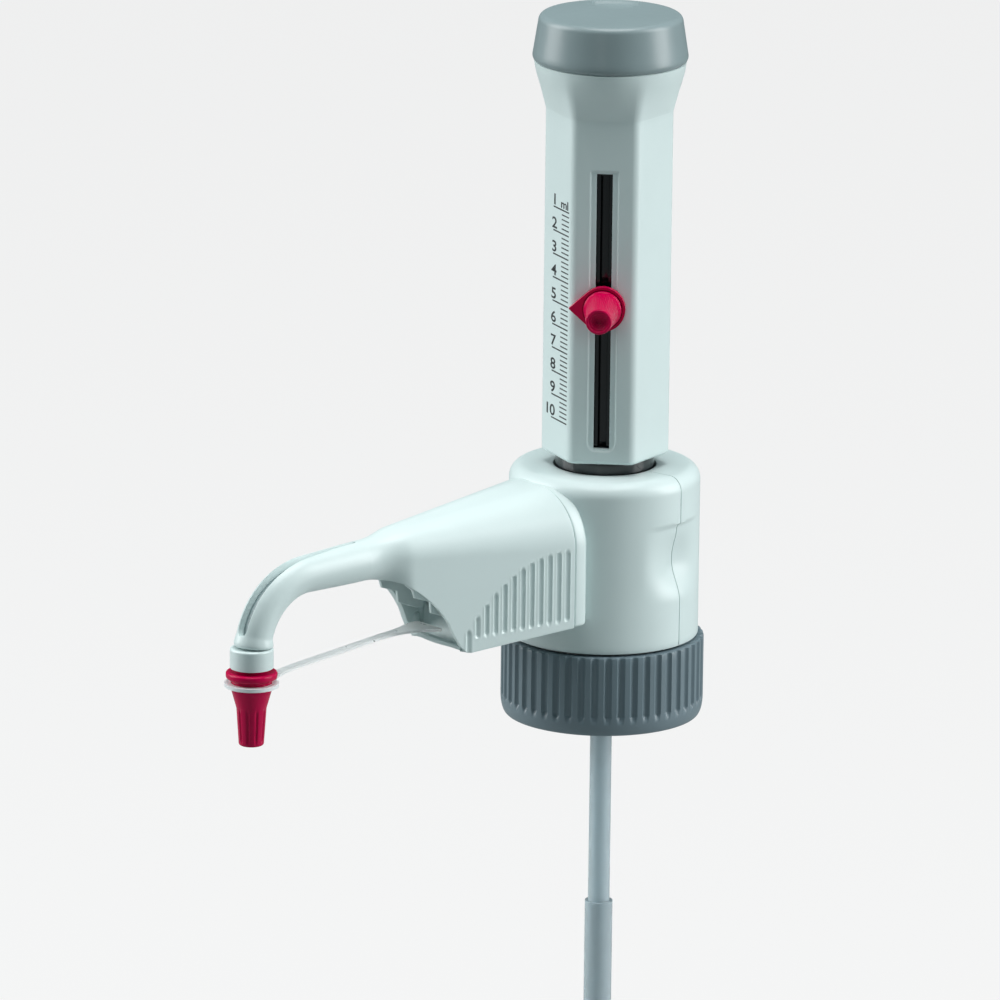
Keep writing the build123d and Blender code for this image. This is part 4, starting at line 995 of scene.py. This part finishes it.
def cap_strap():
    """The thin strap, wide at the web and narrow along its run to the ring."""
    stations = [(62.5, 34.3, 5.2), (66.0, 34.6, 4.6), (69.0, 34.7, 3.2), (72.0, 34.6, 2.1), (76.0, 34.5, 1.5),
                (82.0, 34.1, 1.25), (92.0, 33.0, 1.2), (101.0, 32.1, 1.2), (109.0, 31.3, 1.2),
                (114.2, 30.6, 1.3), (116.4, 29.9, 1.45), (118.4, 29.25, 1.8)]
    rows = []
    us = np.array([s[0] for s in stations])
    for u in np.linspace(us[0], us[-1], 60):
        z = float(np.interp(u, us, [s[1] for s in stations]))
        half = float(np.interp(u, us, [s[2] for s in stations]))
        rows.append([(-u, -half, z), (-u, -half, z + 0.75), (-u, -half * 0.5, z + 0.85),
                     (-u, half * 0.5, z + 0.85), (-u, half, z + 0.75), (-u, half, z)])
    pts = np.array(rows)
    for k in range(3):
        pts[1:-1] = (pts[:-2] + 2 * pts[1:-1] + pts[2:]) / 4
    verts, faces = grid(pts, wrap_cols=True)
    last = len(rows) - 1
    faces.append(tuple(range(6))[::-1])
    faces.append(tuple(last * 6 + k for k in range(6)))
    obj = link("strap_band", verts, faces, STRAP_FILM, None, 60.0)
    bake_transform(obj)
    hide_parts("cap_strap")
    return obj


def discharge_spring():
    """The coil spring of the outlet valve, inside its chamber."""
    box_low, box_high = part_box("discharge_spring")
    x0, x1 = box_low[0] / MM, box_high[0] / MM
    radius, wire, turns = 2.3, 0.28, 6
    rows = []
    for k in range(turns * 20 + 1):
        t = 2 * math.pi * k / 20
        x = x0 + wire + (x1 - x0 - 2 * wire) * k / (turns * 20)
        centre = np.array([x, radius * math.cos(t), 42.0 + radius * math.sin(t)])
        out = np.array([0, math.cos(t), math.sin(t)])
        rows.append([centre + wire * (math.cos(p) * out + math.sin(p) * np.array([1.0, 0, 0]))
                     for p in np.linspace(0, 2 * math.pi, 10, endpoint=False)])
    verts, faces = grid(np.array(rows), wrap_cols=True)
    obj = link("outlet_spring", verts, faces, METAL, "block", 60.0)
    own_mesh(obj)
    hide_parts("discharge_spring")
    return obj


# Room, light and camera


def pale_stage():
    """A white room for the camera that adds no light of its own to the object."""
    mat = bpy.data.materials.new("stage")
    mat.use_nodes = True
    tree = mat.node_tree
    shader = tree.nodes["Principled BSDF"]
    shader.inputs["Base Color"].default_value = (0.34, 0.36, 0.36, 1)
    shader.inputs["Roughness"].default_value = 0.9
    mesh = bpy.data.meshes.new("floor")
    size, z = 6.0, CAD_BOX[0][2] - 0.002
    corners = [(-size, -size, z), (size, -size, z), (size, size, z), (-size, size, z)]
    mesh.from_pydata(corners, [], [(0, 1, 2, 3)])
    mesh.materials.append(mat)
    floor = bpy.data.objects.new("floor", mesh)
    bpy.context.scene.collection.objects.link(floor)
    paths = tree.nodes.new("ShaderNodeLightPath")
    white = tree.nodes.new("ShaderNodeEmission")
    white.inputs["Strength"].default_value = 1.0
    mix = tree.nodes.new("ShaderNodeMixShader")
    half = tree.nodes.new("ShaderNodeMath")
    half.operation = "MULTIPLY"
    half.inputs[1].default_value = 0.85
    tree.links.new(paths.outputs["Is Camera Ray"], half.inputs[0])
    tree.links.new(half.outputs[0], mix.inputs[0])
    tree.links.new(shader.outputs[0], mix.inputs[1])
    tree.links.new(white.outputs[0], mix.inputs[2])
    tree.links.new(mix.outputs[0], tree.nodes["Material Output"].inputs["Surface"])


def world_light(ambient):
    world = bpy.data.worlds.new("studio")
    bpy.context.scene.world = world
    world.use_nodes = True
    tree = world.node_tree
    out = tree.nodes["World Output"]
    plain = tree.nodes["Background"]
    plain.inputs["Color"].default_value = (0.5, 0.93, 1.0, 1)
    plain.inputs["Strength"].default_value = ambient
    seen = tree.nodes.new("ShaderNodeBackground")
    seen.inputs["Color"].default_value = (1, 1, 1, 1)
    seen.inputs["Strength"].default_value = 1.0
    paths = tree.nodes.new("ShaderNodeLightPath")
    either = tree.nodes.new("ShaderNodeMath")
    either.operation = "MAXIMUM"
    tree.links.new(paths.outputs["Is Camera Ray"], either.inputs[0])
    tree.links.new(paths.outputs["Is Transmission Ray"], either.inputs[1])
    mix = tree.nodes.new("ShaderNodeMixShader")
    tree.links.new(either.outputs[0], mix.inputs[0])
    tree.links.new(plain.outputs[0], mix.inputs[1])
    tree.links.new(seen.outputs[0], mix.inputs[2])
    tree.links.new(mix.outputs[0], out.inputs["Surface"])


def soft_box(name, azimuth, elevation, distance, size, power, target=(0.0, 0.0, 0.1)):
    """A square lamp looking at the object. Azimuth is counted as the camera's is."""
    lamp = bpy.data.lights.new(name, "AREA")
    lamp.shape = "RECTANGLE"
    lamp.size, lamp.size_y = size
    lamp.energy = power
    obj = bpy.data.objects.new(name, lamp)
    back = direction(azimuth, elevation)
    obj.location = Vector(target) + back * distance
    obj.rotation_mode = "QUATERNION"
    obj.rotation_quaternion = back.to_track_quat("Z", "Y")
    bpy.context.scene.collection.objects.link(obj)
    return obj


def direction(azimuth, elevation):
    a, e = math.radians(azimuth), math.radians(elevation)
    return Vector((math.sin(a) * math.cos(e), -math.cos(a) * math.cos(e), math.sin(e)))


CAMERA_AZIMUTH = -41.0
CAMERA_ELEVATION = 14.2
CAMERA_ROLL = 0.8
CAMERA_DISTANCE = 3.0
CAMERA_AIM = (0.0, 0.0, 0.095)
PIXELS_PER_M = 3640.0
AIM_PIXEL = (606.0, 377.0)
IMAGE_SIZE = 1000.0


def photo_camera():
    """The photograph's view: the aim point falls on its pixel, with no shift."""
    data = bpy.data.cameras.new("photo_camera")
    cam = bpy.data.objects.new("photo_camera", data)
    bpy.context.scene.collection.objects.link(cam)
    bpy.context.scene.camera = cam
    width = IMAGE_SIZE / PIXELS_PER_M
    data.sensor_width = 36.0
    data.lens = 36.0 * CAMERA_DISTANCE / width
    back = direction(CAMERA_AZIMUTH, CAMERA_ELEVATION)
    upright = (-back).to_track_quat("-Z", "Y").to_matrix()
    roll = Matrix.Rotation(math.radians(CAMERA_ROLL), 3, "Z")
    axes = upright @ roll
    aim = Vector(CAMERA_AIM)
    cam.location = aim + back * CAMERA_DISTANCE
    dx = (IMAGE_SIZE / 2 - AIM_PIXEL[0]) / PIXELS_PER_M
    dy = (AIM_PIXEL[1] - IMAGE_SIZE / 2) / PIXELS_PER_M
    middle = aim + axes @ Vector((dx, dy, 0))
    look = (cam.location - middle).normalized()
    swing = back.rotation_difference(look).to_matrix()
    cam.rotation_mode = "QUATERNION"
    cam.rotation_quaternion = (swing @ axes).to_quaternion()
    data.clip_start, data.clip_end = 0.1, 50.0


def lights():
    world_light(0.11)
    soft_box("key_left", -138, 26, 1.15, (0.7, 1.2), 13.8)
    soft_box("key_right", 44, 20, 1.2, (0.6, 1.2), 14.5)
    soft_box("top", -20, 86, 1.2, (0.8, 0.8), 11.0)
    soft_box("front_strip", -55, 12, 1.6, (0.035, 0.9), 0.8)


scene = bpy.context.scene
scene.view_settings.view_transform = "Standard"

photo_camera()
lights()
pale_stage()
dress_nodes()
mounting_ring()
neck_thread()
shell_half("block_front", "front_shell", SEAM_ANGLE, 360 - SEAM_ANGLE)
shell_half("block_rear", "rear_shell", -SEAM_ANGLE, SEAM_ANGLE)
spout_flange()
piston_housing()
top_cap()
volume_knob()
volume_scale()
scale_numbers()
discharge_housing()
spout_inside()
cup_web()
safety_cap()
cap_strap()
discharge_spring()
